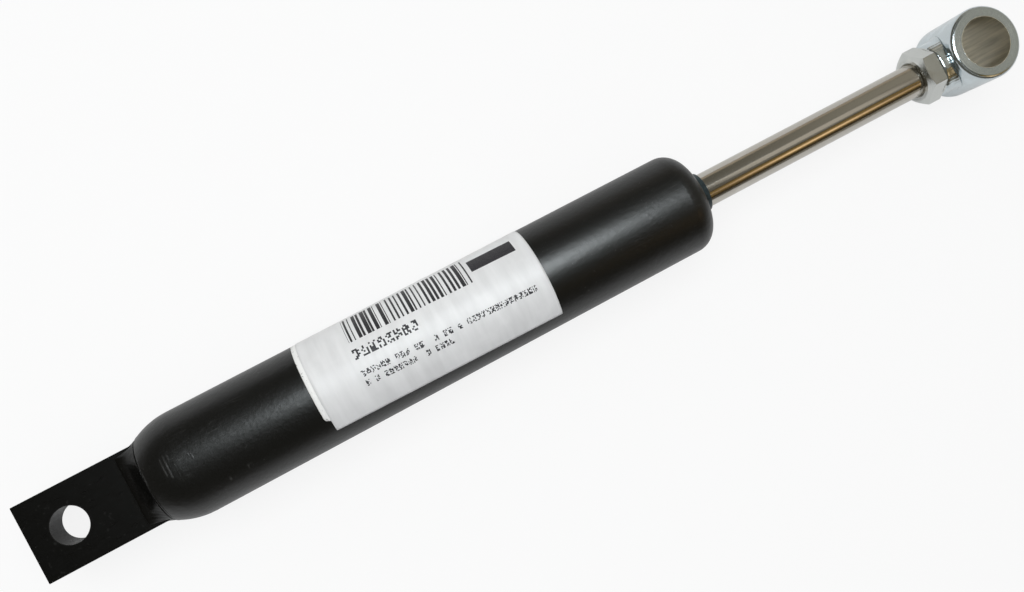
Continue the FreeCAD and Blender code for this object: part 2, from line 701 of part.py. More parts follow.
def piston_body():
    """The piston with a valve seat on each face and slanting ports for both directions."""
    outer = bore_r - piston_play
    band_rear = (piston_length - piston_band_width) / 2
    band_front = band_rear + piston_band_width
    band_bottom = outer - band_thickness
    seat_in = seat_inner_diameter / 2
    seat_out = seat_outer_diameter / 2
    body = turned("piston_body", piston_x, [
        (0, spigot_r + static_fit),
        (0, seat_in),
        (seat_depth, seat_in),
        (seat_depth, seat_out),
        (0, seat_out),
        (0, disc_diameter / 2),
        (seat_depth / 2, disc_diameter / 2),
        (seat_depth / 2, outer - edge_break),
        (seat_depth / 2 + edge_break, outer),
        (band_rear, outer),
        (band_rear, band_bottom),
        (band_front, band_bottom),
        (band_front, outer),
        (piston_length - seat_depth / 2 - edge_break, outer),
        (piston_length - seat_depth / 2, outer - edge_break),
        (piston_length - seat_depth / 2, disc_diameter / 2),
        (piston_length, disc_diameter / 2),
        (piston_length, seat_out),
        (piston_length - seat_depth, seat_out),
        (piston_length - seat_depth, seat_in),
        (piston_length, seat_in),
        (piston_length, spigot_r + static_fit),
    ])
    port_set(body, True, 0)
    port_set(body, False, 180 / port_count.value)
    ring("piston_band", piston_x + band_rear + stack_gap, band_bottom + running_fit,
         bore_r - running_fit, piston_band_width - stack_gap * 2)


def valve_stack(side, seat_x, direction):
    """The valve discs on one face of the piston, the widest on the seat, and their support washer."""
    inner = spigot_r + static_fit
    for number in range(DISCS_PER_SIDE):
        outer = (disc_diameter - disc_step * number) / 2
        near = seat_x + disc_thickness * (number * direction)
        station = near if direction > 0 else near - disc_thickness
        ring(f"{side}_disc_{number + 1}", station, inner, outer, disc_thickness)
    near = seat_x + disc_thickness * (DISCS_PER_SIDE * direction)
    station = near if direction > 0 else near - support_thickness
    ring(f"{side}_support_washer", station, inner, support_diameter / 2, support_thickness)


def break_hex_corners(body, face_x, face_r, flats, angle, inwards=1):
    """Turns the corners of a hexagon down to a round face. The hexagon lies on the inwards side of the face."""
    sketch = new_sketch(body, "XY_Plane")
    outside = flats * BEYOND_CORNERS
    depth = (outside - face_r) * (math.tan(math.radians(angle)) * inwards)
    over = face_x - edge_break * inwards
    draw_outline(sketch, [(over, face_r), (face_x, face_r), (face_x + depth, outside), (over, outside)])
    revolve(body, sketch, "Groove")


def piston_nut():
    """The hex nut that holds the piston stack on the spigot."""
    body = new_body("piston_nut", nut_x)
    outline = new_sketch(body, "YZ_Plane")
    draw_hexagon(outline, piston_nut_flats)
    draw_circle(outline, spigot_r + static_fit)
    extrude(body, outline, piston_nut_length)
    break_hex_corners(body, sized(0), piston_nut_face / 2, piston_nut_flats, HEX_CHAMFER_ANGLE)
    break_hex_corners(body, piston_nut_length, piston_nut_face / 2, piston_nut_flats, HEX_CHAMFER_ANGLE, -1)


def eye_barrel():
    """The steel barrel whose bore takes the pin of the drawbar."""
    body = new_body("eye_barrel", eye_x)
    outline = new_sketch(body, "XY_Plane")
    draw_circle(outline, eye_od / 2)
    draw_circle(outline, eye_bore / 2)
    pad = extrude(body, outline, eye_length, symmetric=True)
    doc.recompute()
    rims = []
    for number, edge in enumerate(pad.Shape.Edges, 1):
        if edge.Curve.TypeId == "Part::GeomCircle" and abs(edge.Curve.Radius - eye_od.value / 2) < TOLERANCE:
            rims.append(f"Edge{number}")
    fillet = body.newObject("PartDesign::Fillet", "eye_barrel_fillet")
    fillet.Base = (pad, rims)
    fillet.Radius = eye_edge.value
    fillet.setExpression("Radius", eye_edge.text)


def cut_barrel(body):
    """Cuts the saddle in which a piece meets the rounded outside of the eye barrel."""
    saddle = new_sketch(body, "XZ_Plane")
    side = eye_od / 2
    end = eye_length / 2
    draw_outline(saddle, [
        (0, -end),
        (side - eye_edge, -end),
        (side, eye_edge - end, eye_edge, 1),
        (side, end - eye_edge),
        (side - eye_edge, end, eye_edge, 1),
        (0, end),
    ])
    revolve(body, saddle, "Groove", "V_Axis")


def eye_socket():
    """The hex socket that the rod screws into, turned down behind the hexagon and coped to the barrel."""
    body = new_body("eye_socket", eye_x)
    outline = new_sketch(body, "YZ_Plane", -socket_reach)
    draw_hexagon(outline, socket_flats)
    extrude(body, outline, socket_reach - eye_bead_reach)
    break_hex_corners(body, -socket_reach, socket_face_diameter / 2, socket_flats, HEX_CHAMFER_ANGLE)
    break_hex_corners(body, -eye_bead_reach, socket_back_diameter / 2, socket_flats, HEX_CHAMFER_ANGLE, -1)
    neck = new_sketch(body, "YZ_Plane", -eye_bead_reach)
    draw_circle(neck, socket_neck_diameter / 2)
    extrude(body, neck, eye_bead_reach)
    bore = new_sketch(body, "YZ_Plane", -socket_reach)
    draw_circle(bore, rod_r)
    extrude(body, bore, socket_reach, kind="Pocket", reverse=True)
    mouth = new_sketch(body, "XY_Plane")
    draw_outline(mouth, [
        (-socket_reach - socket_mouth, rod_r - socket_mouth),
        (-socket_reach - socket_mouth, rod_r + socket_mouth * 2),
        (socket_mouth * 2 - socket_reach, rod_r - socket_mouth),
    ])
    revolve(body, mouth, "Groove")
    cut_barrel(body)


def eye_weld_bead():
    """The hollow weld round the neck of the socket, from the hexagon out over the eye barrel."""
    body = new_body("eye_weld_bead", eye_x)
    start = -eye_bead_reach
    inner = socket_neck_diameter / 2
    outer = socket_flats / 2 + eye_bead_rise
    end = eye_bead_run - root(eye_od * eye_od / 4 - outer * outer)
    profile = new_sketch(body, "XY_Plane")
    draw_outline(profile, [
        (start, inner),
        (start, socket_flats / 2 + eye_bead_toe),
        (start + eye_bead_slope, socket_flats / 2 + eye_bead_step),
        (end, outer, eye_bead_hollow, 1),
        (end, inner),
    ])
    revolve(body, profile)
    cut_barrel(body)


def check_model():
    """Stops if anything in the document failed, or a cut took nothing away."""
    for thing in doc.Objects:
        if "Invalid" in thing.State or "Error" in thing.State:
            raise RuntimeError(f"{thing.Name} failed: {thing.State}")
        if thing.TypeId in ("PartDesign::Pocket", "PartDesign::Groove", "PartDesign::SubtractiveLoft"):
            if thing.Shape.Volume > thing.BaseFeature.Shape.Volume - TOLERANCE:
                raise RuntimeError(f"{thing.Name} cuts nothing")


def write_pieces():
    """Writes the shape of each piece to a file named after it."""
    os.makedirs("parts", exist_ok=True)
    pieces = [thing for thing in doc.Objects if thing.TypeId in ("PartDesign::Body", "Part::Torus")]
    for piece in pieces:
        shape = piece.Shape
        if shape.isNull() or not shape.isValid():
            raise RuntimeError(f"{piece.Label} has no valid shape")
    for piece in pieces:
        piece.Shape.exportStep(f"parts/{piece.Label}.step")
        box = piece.Shape.BoundBox
        print(f"{piece.Label:22s} solids {len(piece.Shape.Solids)}  volume {piece.Shape.Volume:10.1f}"
              f"  x {box.XMin:8.2f} to {box.XMax:8.2f}  radius {box.YMax:6.2f} {box.ZMax:6.2f}")


cylinder_tube()
base_cap()
mounting_lug()
lug_weld_bead()
floating_piston()
rod_guide()
guide_stop_ring()
rod_seal()
seal_cover()
wiper_seal()
piston_rod()
rebound_stop()
piston_body()
valve_stack("compression", piston_x + piston_length, 1)
valve_stack("rebound", piston_x, -1)
piston_nut()
eye_barrel()
eye_socket()
eye_weld_bead()
doc.recompute()
check_model()
write_pieces()
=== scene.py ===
import math

import bmesh
import bpy
from bpy.props import FloatProperty, FloatVectorProperty, PointerProperty
from mathutils import Matrix, Vector, noise


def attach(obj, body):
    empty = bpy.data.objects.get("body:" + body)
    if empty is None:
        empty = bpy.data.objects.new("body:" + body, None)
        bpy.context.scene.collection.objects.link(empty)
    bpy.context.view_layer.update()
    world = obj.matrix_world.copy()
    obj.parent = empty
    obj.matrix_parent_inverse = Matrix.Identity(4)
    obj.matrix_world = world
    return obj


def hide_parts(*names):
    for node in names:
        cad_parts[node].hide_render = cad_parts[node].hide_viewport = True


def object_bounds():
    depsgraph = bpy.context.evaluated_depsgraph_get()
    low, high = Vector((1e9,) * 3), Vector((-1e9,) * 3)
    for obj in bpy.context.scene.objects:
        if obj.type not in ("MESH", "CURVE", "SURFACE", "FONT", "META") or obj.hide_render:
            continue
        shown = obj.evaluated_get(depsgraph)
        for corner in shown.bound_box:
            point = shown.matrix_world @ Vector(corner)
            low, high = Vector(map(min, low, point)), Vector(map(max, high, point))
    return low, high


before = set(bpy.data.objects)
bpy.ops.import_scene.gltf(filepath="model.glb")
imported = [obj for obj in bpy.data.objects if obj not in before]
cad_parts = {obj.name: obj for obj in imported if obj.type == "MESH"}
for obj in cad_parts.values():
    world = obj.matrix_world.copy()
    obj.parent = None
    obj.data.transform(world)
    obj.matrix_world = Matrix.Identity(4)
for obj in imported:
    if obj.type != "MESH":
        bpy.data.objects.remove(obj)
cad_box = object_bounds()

bl_info = {
    "name": "Overrun damper looks",
    "version": (1, 0, 0),
    "blender": (4, 5, 0),
    "location": "View3D > Sidebar > Damper",
    "description": "Finishes, welds, labels and studio for the overrun damper",
    "category": "Object",
}

MM = 0.001
# Where the middle of the rod eye stands along X, in metres
EYE_X = 0.4564
# Where the hexagon of the eye's socket ends along X
SOCKET_END_X = 0.4342
# Height above which the turned end faces of the eye lie
EYE_FACE_Z = 0.0162
# Radii just outside the bores of eye and lug, so that a mask of that radius takes in the wall
EYE_BORE_REACH = 0.01225
LUG_BORE_REACH = 0.0083
# Where the lug's weld starts along X, and how strongly its ripples bow from there
LUG_WELD_X = 0.0265
LUG_WELD_BOW = 40
# Mean radius of the eye's weld round the damper's axis
EYE_WELD_RADIUS = 0.0135
# Lumps of each weld per metre
LUG_WELD_LUMPS = 220
EYE_WELD_LUMPS = 260
# Depth in metres of the fine unevenness of each finish
CHROME_RINGS = 0.000002
ZINC_GRAIN = 0.00003
TURNED_GRAIN = 0.00001
SINTERED_GRAIN = 0.00002
RUBBER_GRAIN = 0.00002
PAPER_FIBRE = 0.000008
OLD_PAPER_FIBRE = 0.000012


# Settings that a user would change


def colour(name, description, default):
    """A colour setting."""
    return FloatVectorProperty(name=name, description=description, subtype="COLOR", size=3, min=0, max=1,
                               default=default)


def length(name, description, default):
    """A length setting in metres."""
    return FloatProperty(name=name, description=description, default=default, subtype="DISTANCE", precision=5)


def light(name, description, default):
    """A setting for the colour and strength of light."""
    return FloatVectorProperty(name=name, description=description, subtype="COLOR", size=3, min=0,
                               default=default)


def share(name, description, default):
    """A setting between 0 and 1."""
    return FloatProperty(name=name, description=description, default=default, min=0, max=1, subtype="FACTOR")


def angle(name, description, degrees):
    """An angle setting, given here in degrees."""
    return FloatProperty(name=name, description=description, default=math.radians(degrees), subtype="ANGLE")


class DamperStageSettings(bpy.types.PropertyGroup):
    """Camera, room and floor."""
    lens: FloatProperty(name="Lens", description="Focal length for a sensor 36 mm wide", default=32.96,
                        subtype="DISTANCE_CAMERA")
    camera_place: FloatVectorProperty(name="Camera place", description="Where the camera stands",
                                      default=(0.15064, 0.00062, 0.41459), subtype="TRANSLATION")
    camera_lean: angle("Camera lean", "Lean of the view along the damper", 7.67)
    camera_turn: angle("Camera turn", "Turn of the picture about the line of sight", 27.85)
    camera_roll: angle("Camera roll", "Roll of the view about the damper's axis", -0.31)
    floor_colour: colour("Floor", "Colour of the pale floor", (0.88, 0.88, 0.88))
    floor_glow: share("Floor glow", "Share of plain white that the camera sees in the floor", 0.84)
    mirrored_glow: share("Mirrored floor glow", "How much the floor glows where polished surfaces mirror it",
                         0.14)
    room_above: light("Room above", "What polished surfaces mirror over the tube", (0.11, 0.105, 0.085))
    room_ahead: light("Room ahead", "What polished surfaces mirror beyond the rod eye", (0.36, 0.345, 0.29))
    fill_near: light("Fill from the near side", "Soft light from the side of -Y", (0.26, 0.262, 0.27))
    fill_far: light("Fill from the far side", "Soft light from the side of +Y", (0.56, 0.555, 0.545))


class DamperPaintSettings(bpy.types.PropertyGroup):
    """Black paint of the housing."""
    paint: colour("Paint", "Satin black paint", (0.0022, 0.0021, 0.0018))
    worn_paint: colour("Worn paint", "Paint where it is rubbed grey", (0.06, 0.06, 0.058))
    grain_depth: length("Grain depth", "Depth of the fine grain of the paint", 0.00002)
    peel_depth: length("Orange peel", "Height of the slow waves in the sprayed paint", 0.00009)
    dent_depth: length("Dent depth", "Depth of the scuff marks", 0.00006)


class DamperMetalSettings(bpy.types.PropertyGroup):
    """Bright metals outside and the metals inside."""
    chrome: colour("Chrome", "Hard chrome of the rod", (0.62, 0.585, 0.53))
    zinc: colour("Zinc", "Bright zinc of the rod eye", (0.66, 0.725, 0.755))
    # Warmer than the barrel's zinc: a painted reflection of a brown room in the socket's flats
    socket_zinc_with_painted_reflection: colour("Socket zinc", "Warmer zinc of the eye's threaded socket", (0.66, 0.665, 0.635))
    zinc_shade: colour("Zinc shade", "Zinc where it is duller", (0.46, 0.49, 0.5))
    # The bore's brown and its grey streaks are a painted reflection of a brown table below the eye
    bore_brown_painted_reflection: colour("Eye bore", "Dull wall of the eye's bore", (0.6, 0.55, 0.43))


class DamperWeldSettings(bpy.types.PropertyGroup):
    """Both welds."""
    voxel: length("Weld face size", "Size of the faces of a weld", 0.0004)
    ripple_pitch: length("Ripple pitch", "Distance between the ripples of a weld", 0.0017)
    lug_ripple: length("Lug ripple", "Height of the ripples of the lug weld", 0.00004)
    eye_ripple: length("Eye ripple", "Height of the ripples of the eye weld", 0.00005)
    lumps: length("Weld lumps", "Height of the larger unevenness of a weld", 0.00018)


class DamperLabelSettings(bpy.types.PropertyGroup):
    """Paper labels on the tube."""
    paper: colour("Paper", "White paper of the label", (0.85, 0.85, 0.855))
    old_paper: colour("Older paper", "Paper of the older label", (0.88, 0.875, 0.86))
    ink: colour("Ink", "Dark print", (0.02, 0.018, 0.022))
    tube_radius: length("Tube radius", "Radius that the labels lie on", 0.0235)
    start: length("Label start", "Rear edge of the label along the damper", 0.1131)
    end: length("Label end", "Front edge of the label along the damper", 0.2206)
    low_angle: angle("Lower edge", "Lower edge of the label round the tube", -46.2)
    high_angle: angle("Upper edge", "Upper edge of the label round the tube", 96)
    skew: angle("Skew", "How far out of square the label is stuck on", -1.2)
    thickness: length("Paper thickness", "Thickness of a label", 0.00009)
    print_tilt: angle("Print tilt", "How far the print leans in the label", -0.3)


# Node trees


class Tree:
    """A node tree to which nodes are added and joined in one call."""

    def __init__(self, tree):
        self.tree = tree

    def add(self, kind, inputs=None, **settings):
        """Adds a node. Inputs are values or outputs of other nodes, by socket name or number."""
        node = self.tree.nodes.new(kind)
        for key, value in settings.items():
            setattr(node, key, value)
        for key, value in (inputs or {}).items():
            if isinstance(value, bpy.types.NodeSocket):
                self.tree.links.new(value, node.inputs[key])
            else:
                node.inputs[key].default_value = value
        return node

    def math(self, operation, *values, clamp=False):
        """The result of a calculation with values or sockets."""
        node = self.add("ShaderNodeMath", dict(enumerate(values)), operation=operation, use_clamp=clamp)
        return node.outputs[0]

    def noise(self, vector, scale, detail=2.0, distortion=0.0):
        """Cloudy noise about 0.5."""
        inputs = {"Vector": vector, "Scale": scale, "Detail": detail, "Distortion": distortion}
        return self.add("ShaderNodeTexNoise", inputs).outputs["Fac"]

    def stretched(self, vector, scale):
        """Coordinates scaled differently along each axis."""
        inputs = {0: vector, 1: scale}
        return self.add("ShaderNodeVectorMath", inputs, operation="MULTIPLY").outputs[0]

    def remap(self, value, low, high, new_low=0.0, new_high=1.0, smooth=False):
        """Moves a value from one range to another and holds it there."""
        inputs = {"Value": value, "From Min": low, "From Max": high, "To Min": new_low, "To Max": new_high}
        kind = "SMOOTHSTEP" if smooth else "LINEAR"
        return self.add("ShaderNodeMapRange", inputs, interpolation_type=kind).outputs["Result"]

    def blend(self, mask, first, second):
        """The first colour where the mask is 0, the second where it is 1."""
        node = self.tree.nodes.new("ShaderNodeMix")
        node.data_type = "RGBA"
        for index, value in ((0, mask), (6, first), (7, second)):
            if isinstance(value, bpy.types.NodeSocket):
                self.tree.links.new(value, node.inputs[index])
            else:
                node.inputs[index].default_value = (*value, 1.0)
        return node.outputs[2]

    def split(self, vector):
        """The three parts of a vector."""
        return self.add("ShaderNodeSeparateXYZ", {0: vector}).outputs

    def reach(self, first, second):
        """How far a point with these two coordinates lies from zero."""
        first_square = self.math("MULTIPLY", first, first)
        second_square = self.math("MULTIPLY", second, second)
        return self.math("SQRT", self.math("ADD", first_square, second_square))

    def object_place(self):
        """Coordinates in metres, in the frame of the damper."""
        return self.add("ShaderNodeTexCoord").outputs["Object"]

    def bump(self, height, depth):
        """A normal from a height of 0 to 1 and the depth that 1 stands for."""
        inputs = {"Height": height, "Distance": depth, "Strength": 1.0}
        return self.add("ShaderNodeBump", inputs).outputs["Normal"]

    def use(self, name, **inputs):
        """A shared effect. Inputs are named as its sockets, with _ for a space."""
        named = {key.replace("_", " "): value for key, value in inputs.items()}
        node = self.tree.nodes.new("ShaderNodeGroup")
        node.node_tree = bpy.data.node_groups[name]
        for key, value in named.items():
            if isinstance(value, bpy.types.NodeSocket):
                self.tree.links.new(value, node.inputs[key])
            else:
                node.inputs[key].default_value = value
        return node.outputs


def new_effect(name, inputs, outputs, build):
    """A shader node group. build gets the tree and its inputs and returns a socket for each output."""
    group = bpy.data.node_groups.new(name, "ShaderNodeTree")
    for socket, kind in inputs:
        group.interface.new_socket(name=socket, in_out="INPUT", socket_type=kind)
    for socket, kind in outputs:
        group.interface.new_socket(name=socket, in_out="OUTPUT", socket_type=kind)
    tree = Tree(group)
    start = tree.add("NodeGroupInput")
    end = tree.add("NodeGroupOutput")
    made = build(tree, start.outputs)
    for (socket, _), value in zip(outputs, made):
        group.links.new(value, end.inputs[socket])


VECTOR = "NodeSocketVector"
FLOAT = "NodeSocketFloat"


def build_grain(tree, given):
    """Fine unevenness in two sizes."""
    coarse = tree.noise(given["Place"], given["Scale"], 3.0)
    fine_scale = tree.math("MULTIPLY", given["Scale"], 3.7)
    fine = tree.noise(given["Place"], fine_scale, 2.0)
    mixed = tree.math("MULTIPLY_ADD", fine, 0.45, tree.math("MULTIPLY", coarse, 0.55))
    return [mixed]


def build_spots(tree, given):
    """Scattered spots. Cover is the share of the noise that shows as a spot."""
    cloud = tree.noise(given["Place"], given["Scale"], 3.0, 0.4)
    edge = tree.math("SUBTRACT", 1.0, given["Cover"])
    low = tree.math("SUBTRACT", edge, given["Softness"])
    return [tree.remap(cloud, low, edge, smooth=True)]


def build_scratches(tree, given):
    """Thin broken lines that run along the first axis of the place."""
    along = tree.stretched(given["Place"], (0.06, 1.0, 1.0))
    cloud = tree.noise(along, given["Scale"], 1.0, 0.6)
    away = tree.math("ABSOLUTE", tree.math("SUBTRACT", cloud, 0.5))
    line = tree.remap(away, 0.0, given["Width"], 1.0, 0.0)
    patch_scale = tree.math("MULTIPLY", given["Scale"], 0.12)
    patch = tree.remap(tree.noise(given["Place"], patch_scale, 2.0), 0.5, 0.62)
    return [tree.math("MULTIPLY", line, patch)]


def build_turned(tree, given):
    """Fine rings left by turning, round the damper's axis."""
    place = tree.split(given["Place"])
    along = tree.math("MULTIPLY", place[0], given["Rings per metre"])
    rings = tree.add("ShaderNodeTexNoise", {"W": along, "Scale": 1.0, "Detail": 2.0}, noise_dimensions="1D")
    return [rings.outputs["Fac"]]


def build_inside(tree, given):
    """1 inside a circle round an upright axis, 0 outside."""
    place = tree.split(given["Place"])
    reach = tree.reach(tree.math("SUBTRACT", place[0], given["Centre X"]), place[1])
    return [tree.math("LESS_THAN", reach, given["Radius"])]


def build_strip(tree, given):
    """1 where a value lies between two limits, with soft edges."""
    start = tree.math("SUBTRACT", given["Low"], given["Softness"])
    end = tree.math("ADD", given["High"], given["Softness"])
    low = tree.remap(given["Value"], start, given["Low"])
    high = tree.remap(given["Value"], given["High"], end, 1.0, 0.0)
    return [tree.math("MULTIPLY", low, high)]


def make_effects():
    """Builds the effects that the materials share."""
    place = ("Place", VECTOR)
    scale = ("Scale", FLOAT)
    new_effect("Fine grain", [place, scale], [("Height", FLOAT)], build_grain)
    new_effect("Spots", [place, scale, ("Cover", FLOAT), ("Softness", FLOAT)], [("Mask", FLOAT)], build_spots)
    new_effect("Scratches", [place, scale, ("Width", FLOAT)], [("Mask", FLOAT)], build_scratches)
    new_effect("Turned rings", [place, ("Rings per metre", FLOAT)], [("Height", FLOAT)], build_turned)
    bore = [place, ("Centre X", FLOAT), ("Radius", FLOAT)]
    new_effect("Inside a bore", bore, [("Mask", FLOAT)], build_inside)
    limits = [("Value", FLOAT), ("Low", FLOAT), ("High", FLOAT), ("Softness", FLOAT)]
    new_effect("Strip", limits, [("Mask", FLOAT)], build_strip)


def new_material(name, **settings):
    """A material with its shader. Settings are plain values of the shader's sockets."""
    material = bpy.data.materials.new(name)
    material.use_nodes = True
    shader = material.node_tree.nodes["Principled BSDF"]
    for key, value in settings.items():
        shader.inputs[key.replace("_", " ")].default_value = value
    return material, Tree(material.node_tree), shader


def join(tree, shader, **sockets):
    """Joins sockets to the shader's inputs of the same names."""
    for key, socket in sockets.items():
        tree.tree.links.new(socket, shader.inputs[key.replace("_", " ")])


def tube_angle(tree, place):
    """The angle round the tube in degrees, 0 at the top and positive towards +Y."""
    parts = tree.split(place)
    turn = tree.math("ARCTAN2", parts[1], parts[2])
    return tree.math("MULTIPLY", turn, 180 / math.pi)


# Scuff marks on the tube, and one painted highlight: start and end along the damper in metres, and from and
# to round the tube in degrees. The first strip is a painted highlight where the tube's rear edge catches the
# light; the others are scuff marks
TUBE_SCUFFS_AND_EDGE_HIGHLIGHT = (
    (0.0373, 0.0377, -6, 14),
    (0.0465, 0.0468, -1, 15),
    (0.0481, 0.0485, -5, 17),
    (0.0497, 0.0501, -8, 16),
    (0.0512, 0.0514, -12, 5),
    (0.0576, 0.0579, 4, 8),
    (0.0586, 0.0589, 3, 7),
    (0.0755, 0.0775, -34, -32),
    (0.0668, 0.0674, -36, -35),
)


def make_tube_paint(settings):
    """Satin black paint with fine grain, rubbed specks, dust, a few scuff marks and a painted highlight on
    the tube's rear edge.
    """
    material, tree, shader = new_material("tube_satin_black", Specular_IOR_Level=0.5)
    place = tree.object_place()
    grain = tree.use("Fine grain", Place=place, Scale=1500.0)["Height"]
    specks = tree.use("Spots", Place=place, Scale=900.0, Cover=0.3, Softness=0.06)["Mask"]
    rubbed = tree.use("Spots", Place=place, Scale=110.0, Cover=0.38, Softness=0.12)["Mask"]
    lines = tree.use("Scratches", Place=place, Scale=520.0, Width=0.012)["Mask"]
    around = tube_angle(tree, place)
    parts = tree.split(place)
    scuffs_and_edge_highlight = None
    for start, end, low, high in TUBE_SCUFFS_AND_EDGE_HIGHLIGHT:
        along = tree.use("Strip", Value=parts[0], Low=start, High=end, Softness=0.00035)["Mask"]
        turn = tree.use("Strip", Value=around, Low=float(low), High=float(high), Softness=3.0)["Mask"]
        here = tree.math("MULTIPLY", along, turn)
        scuffs_and_edge_highlight = here if scuffs_and_edge_highlight is None else tree.math("MAXIMUM", scuffs_and_edge_highlight, here)
    broken = tree.noise(tree.stretched(place, (1.0, 0.3, 1.0)), 620.0, 2.0)
    scuffed_and_edge_highlight = tree.math("MULTIPLY", scuffs_and_edge_highlight, tree.remap(broken, 0.38, 0.6))
    faint = tree.math("MULTIPLY", tree.math("MULTIPLY", specks, rubbed), 0.35)
    # Worn grey here takes in the strips, so it also paints the highlight on the tube's rear edge
    worn = tree.math("MAXIMUM", faint, tree.math("MULTIPLY", scuffed_and_edge_highlight, 0.4))
    worn = tree.math("MAXIMUM", worn, tree.math("MULTIPLY", lines, 0.3))
    peel_share = settings.peel_depth / settings.grain_depth
    dent_share = settings.dent_depth / settings.grain_depth
    peel = tree.math("MULTIPLY", tree.noise(place, 480.0, 3.0), peel_share)
    height = tree.math("ADD", peel, tree.math("MULTIPLY_ADD", scuffed_and_edge_highlight, dent_share, grain))
    join(
        tree, shader,
        Base_Color=tree.blend(worn, settings.paint, settings.worn_paint),
        Roughness=tree.remap(grain, 0.35, 0.65, 0.33, 0.39),
        Normal=tree.bump(height, settings.grain_depth),
    )
    return material


def make_lug_paint(settings):
    """The same paint, thinner and flatter over the flat bar and its weld, grey on rubbed edges."""
    material, tree, shader = new_material("lug_satin_black", Specular_IOR_Level=0.24)
    place = tree.object_place()
    grain = tree.use("Fine grain", Place=place, Scale=800.0)["Height"]
    rolled = tree.noise(tree.stretched(place, (0.25, 1.0, 1.0)), 700.0, 2.0)
    specks = tree.use("Spots", Place=place, Scale=620.0, Cover=0.3, Softness=0.05)["Mask"]
    in_bore = tree.use("Inside a bore", Place=place, Centre_X=0.0, Radius=LUG_BORE_REACH)["Mask"]
    lines = tree.use("Scratches", Place=place, Scale=430.0, Width=0.011)["Mask"]
    worn = tree.math("MULTIPLY_ADD", in_bore, 0.18, tree.math("MULTIPLY", specks, 0.14))
    worn = tree.math("MAXIMUM", worn, tree.math("MULTIPLY", lines, 0.03), clamp=True)
    height = tree.math("MULTIPLY_ADD", rolled, 0.3, grain)
    join(
        tree, shader,
        Base_Color=tree.blend(worn, settings.paint, settings.worn_paint),
        Roughness=tree.remap(rolled, 0.3, 0.7, 0.27, 0.32),
        Normal=tree.bump(height, settings.grain_depth),
    )
    return material


def make_chrome(settings):
    """Hard chrome, ground round and round, with faint handling marks along the rod."""
    material, tree, shader = new_material("rod_hard_chrome", Metallic=1.0)
    place = tree.object_place()
    rings = tree.use("Turned rings", Place=place, Rings_per_metre=5200.0)["Height"]
    film = tree.use("Spots", Place=place, Scale=90.0, Cover=0.55, Softness=0.25)["Mask"]
    lines = tree.use("Scratches", Place=place, Scale=900.0, Width=0.02)["Mask"]
    tint = tuple(part * 0.86 for part in settings.chrome)
    join(
        tree, shader,
        Base_Color=tree.blend(film, settings.chrome, tint),
        Roughness=tree.math("MULTIPLY_ADD", lines, 0.08, tree.remap(film, 0.0, 1.0, 0.1, 0.15)),
        Normal=tree.bump(rings, CHROME_RINGS),
    )
    return material


def make_zinc(settings):
    """Bright zinc with a bluish cast, dull clouds, turned end faces and a streaked wall in the bore, with
    painted reflections: a warmer socket, and brown and grey on the wall of the bore.
    """
    material, tree, shader = new_material("eye_bright_zinc", Metallic=1.0)
    place = tree.object_place()
    grain = tree.use("Fine grain", Place=place, Scale=420.0)["Height"]
    cloud = tree.use("Spots", Place=place, Scale=170.0, Cover=0.5, Softness=0.2)["Mask"]
    in_bore = tree.use("Inside a bore", Place=place, Centre_X=EYE_X, Radius=EYE_BORE_REACH)["Mask"]
    drawn = tree.noise(tree.stretched(place, (1.0, 1.0, 0.07)), 620.0, 3.0)
    streaks = tree.remap(drawn, 0.3, 0.7)
    parts = tree.split(place)
    # The socket is warmer: a painted reflection of a brown room in its hexagon's flats
    on_socket = tree.math("LESS_THAN", parts[0], SOCKET_END_X)
    zinc = tree.blend(on_socket, settings.zinc, settings.socket_zinc_with_painted_reflection)
    outside = tree.blend(tree.math("MULTIPLY", cloud, 0.28), zinc, settings.zinc_shade)
    # The wall of the bore is a painted reflection: brown and grey streaks for a brown table below
    grey_wall = tuple(part * 0.55 + 0.05 for part in settings.bore_brown_painted_reflection)
    wall = tree.blend(streaks, settings.bore_brown_painted_reflection, grey_wall)
    reach = tree.reach(tree.math("SUBTRACT", parts[0], EYE_X), parts[1])
    lathe = tree.noise(tree.add("ShaderNodeCombineXYZ", {0: reach}).outputs[0], 3000.0, 1.0)
    on_face = tree.math("GREATER_THAN", tree.math("ABSOLUTE", parts[2]), EYE_FACE_Z)
    turned = tree.math("MULTIPLY", lathe, tree.math("MULTIPLY", on_face, 2.2))
    height = tree.math("ADD", turned, tree.math("MULTIPLY_ADD", in_bore, streaks, grain))
    plain = tree.math("MULTIPLY_ADD", cloud, 0.07, 0.13)
    rough = tree.math("MULTIPLY_ADD", in_bore, 0.26, plain)
    join(
        tree, shader,
        Base_Color=tree.blend(in_bore, outside, wall),
        Roughness=rough,
        Normal=tree.bump(height, ZINC_GRAIN),
    )
    return material


def make_turned_metal(name, base, shade, rough):
    """A turned metal part, bright on the rings and darker in oily patches."""
    material, tree, shader = new_material(name, Metallic=1.0)
    place = tree.object_place()
    lathe = tree.use("Turned rings", Place=place, Rings_per_metre=2600.0)["Height"]
    grain = tree.use("Fine grain", Place=place, Scale=1900.0)["Height"]
    oily = tree.use("Spots", Place=place, Scale=140.0, Cover=0.5, Softness=0.2)["Mask"]
    height = tree.math("MULTIPLY_ADD", grain, 0.4, lathe)
    join(
        tree, shader,
        Base_Color=tree.blend(oily, base, shade),
        Roughness=tree.remap(oily, 0.0, 1.0, rough, rough * 0.7),
        Normal=tree.bump(height, TURNED_GRAIN),
    )
    return material


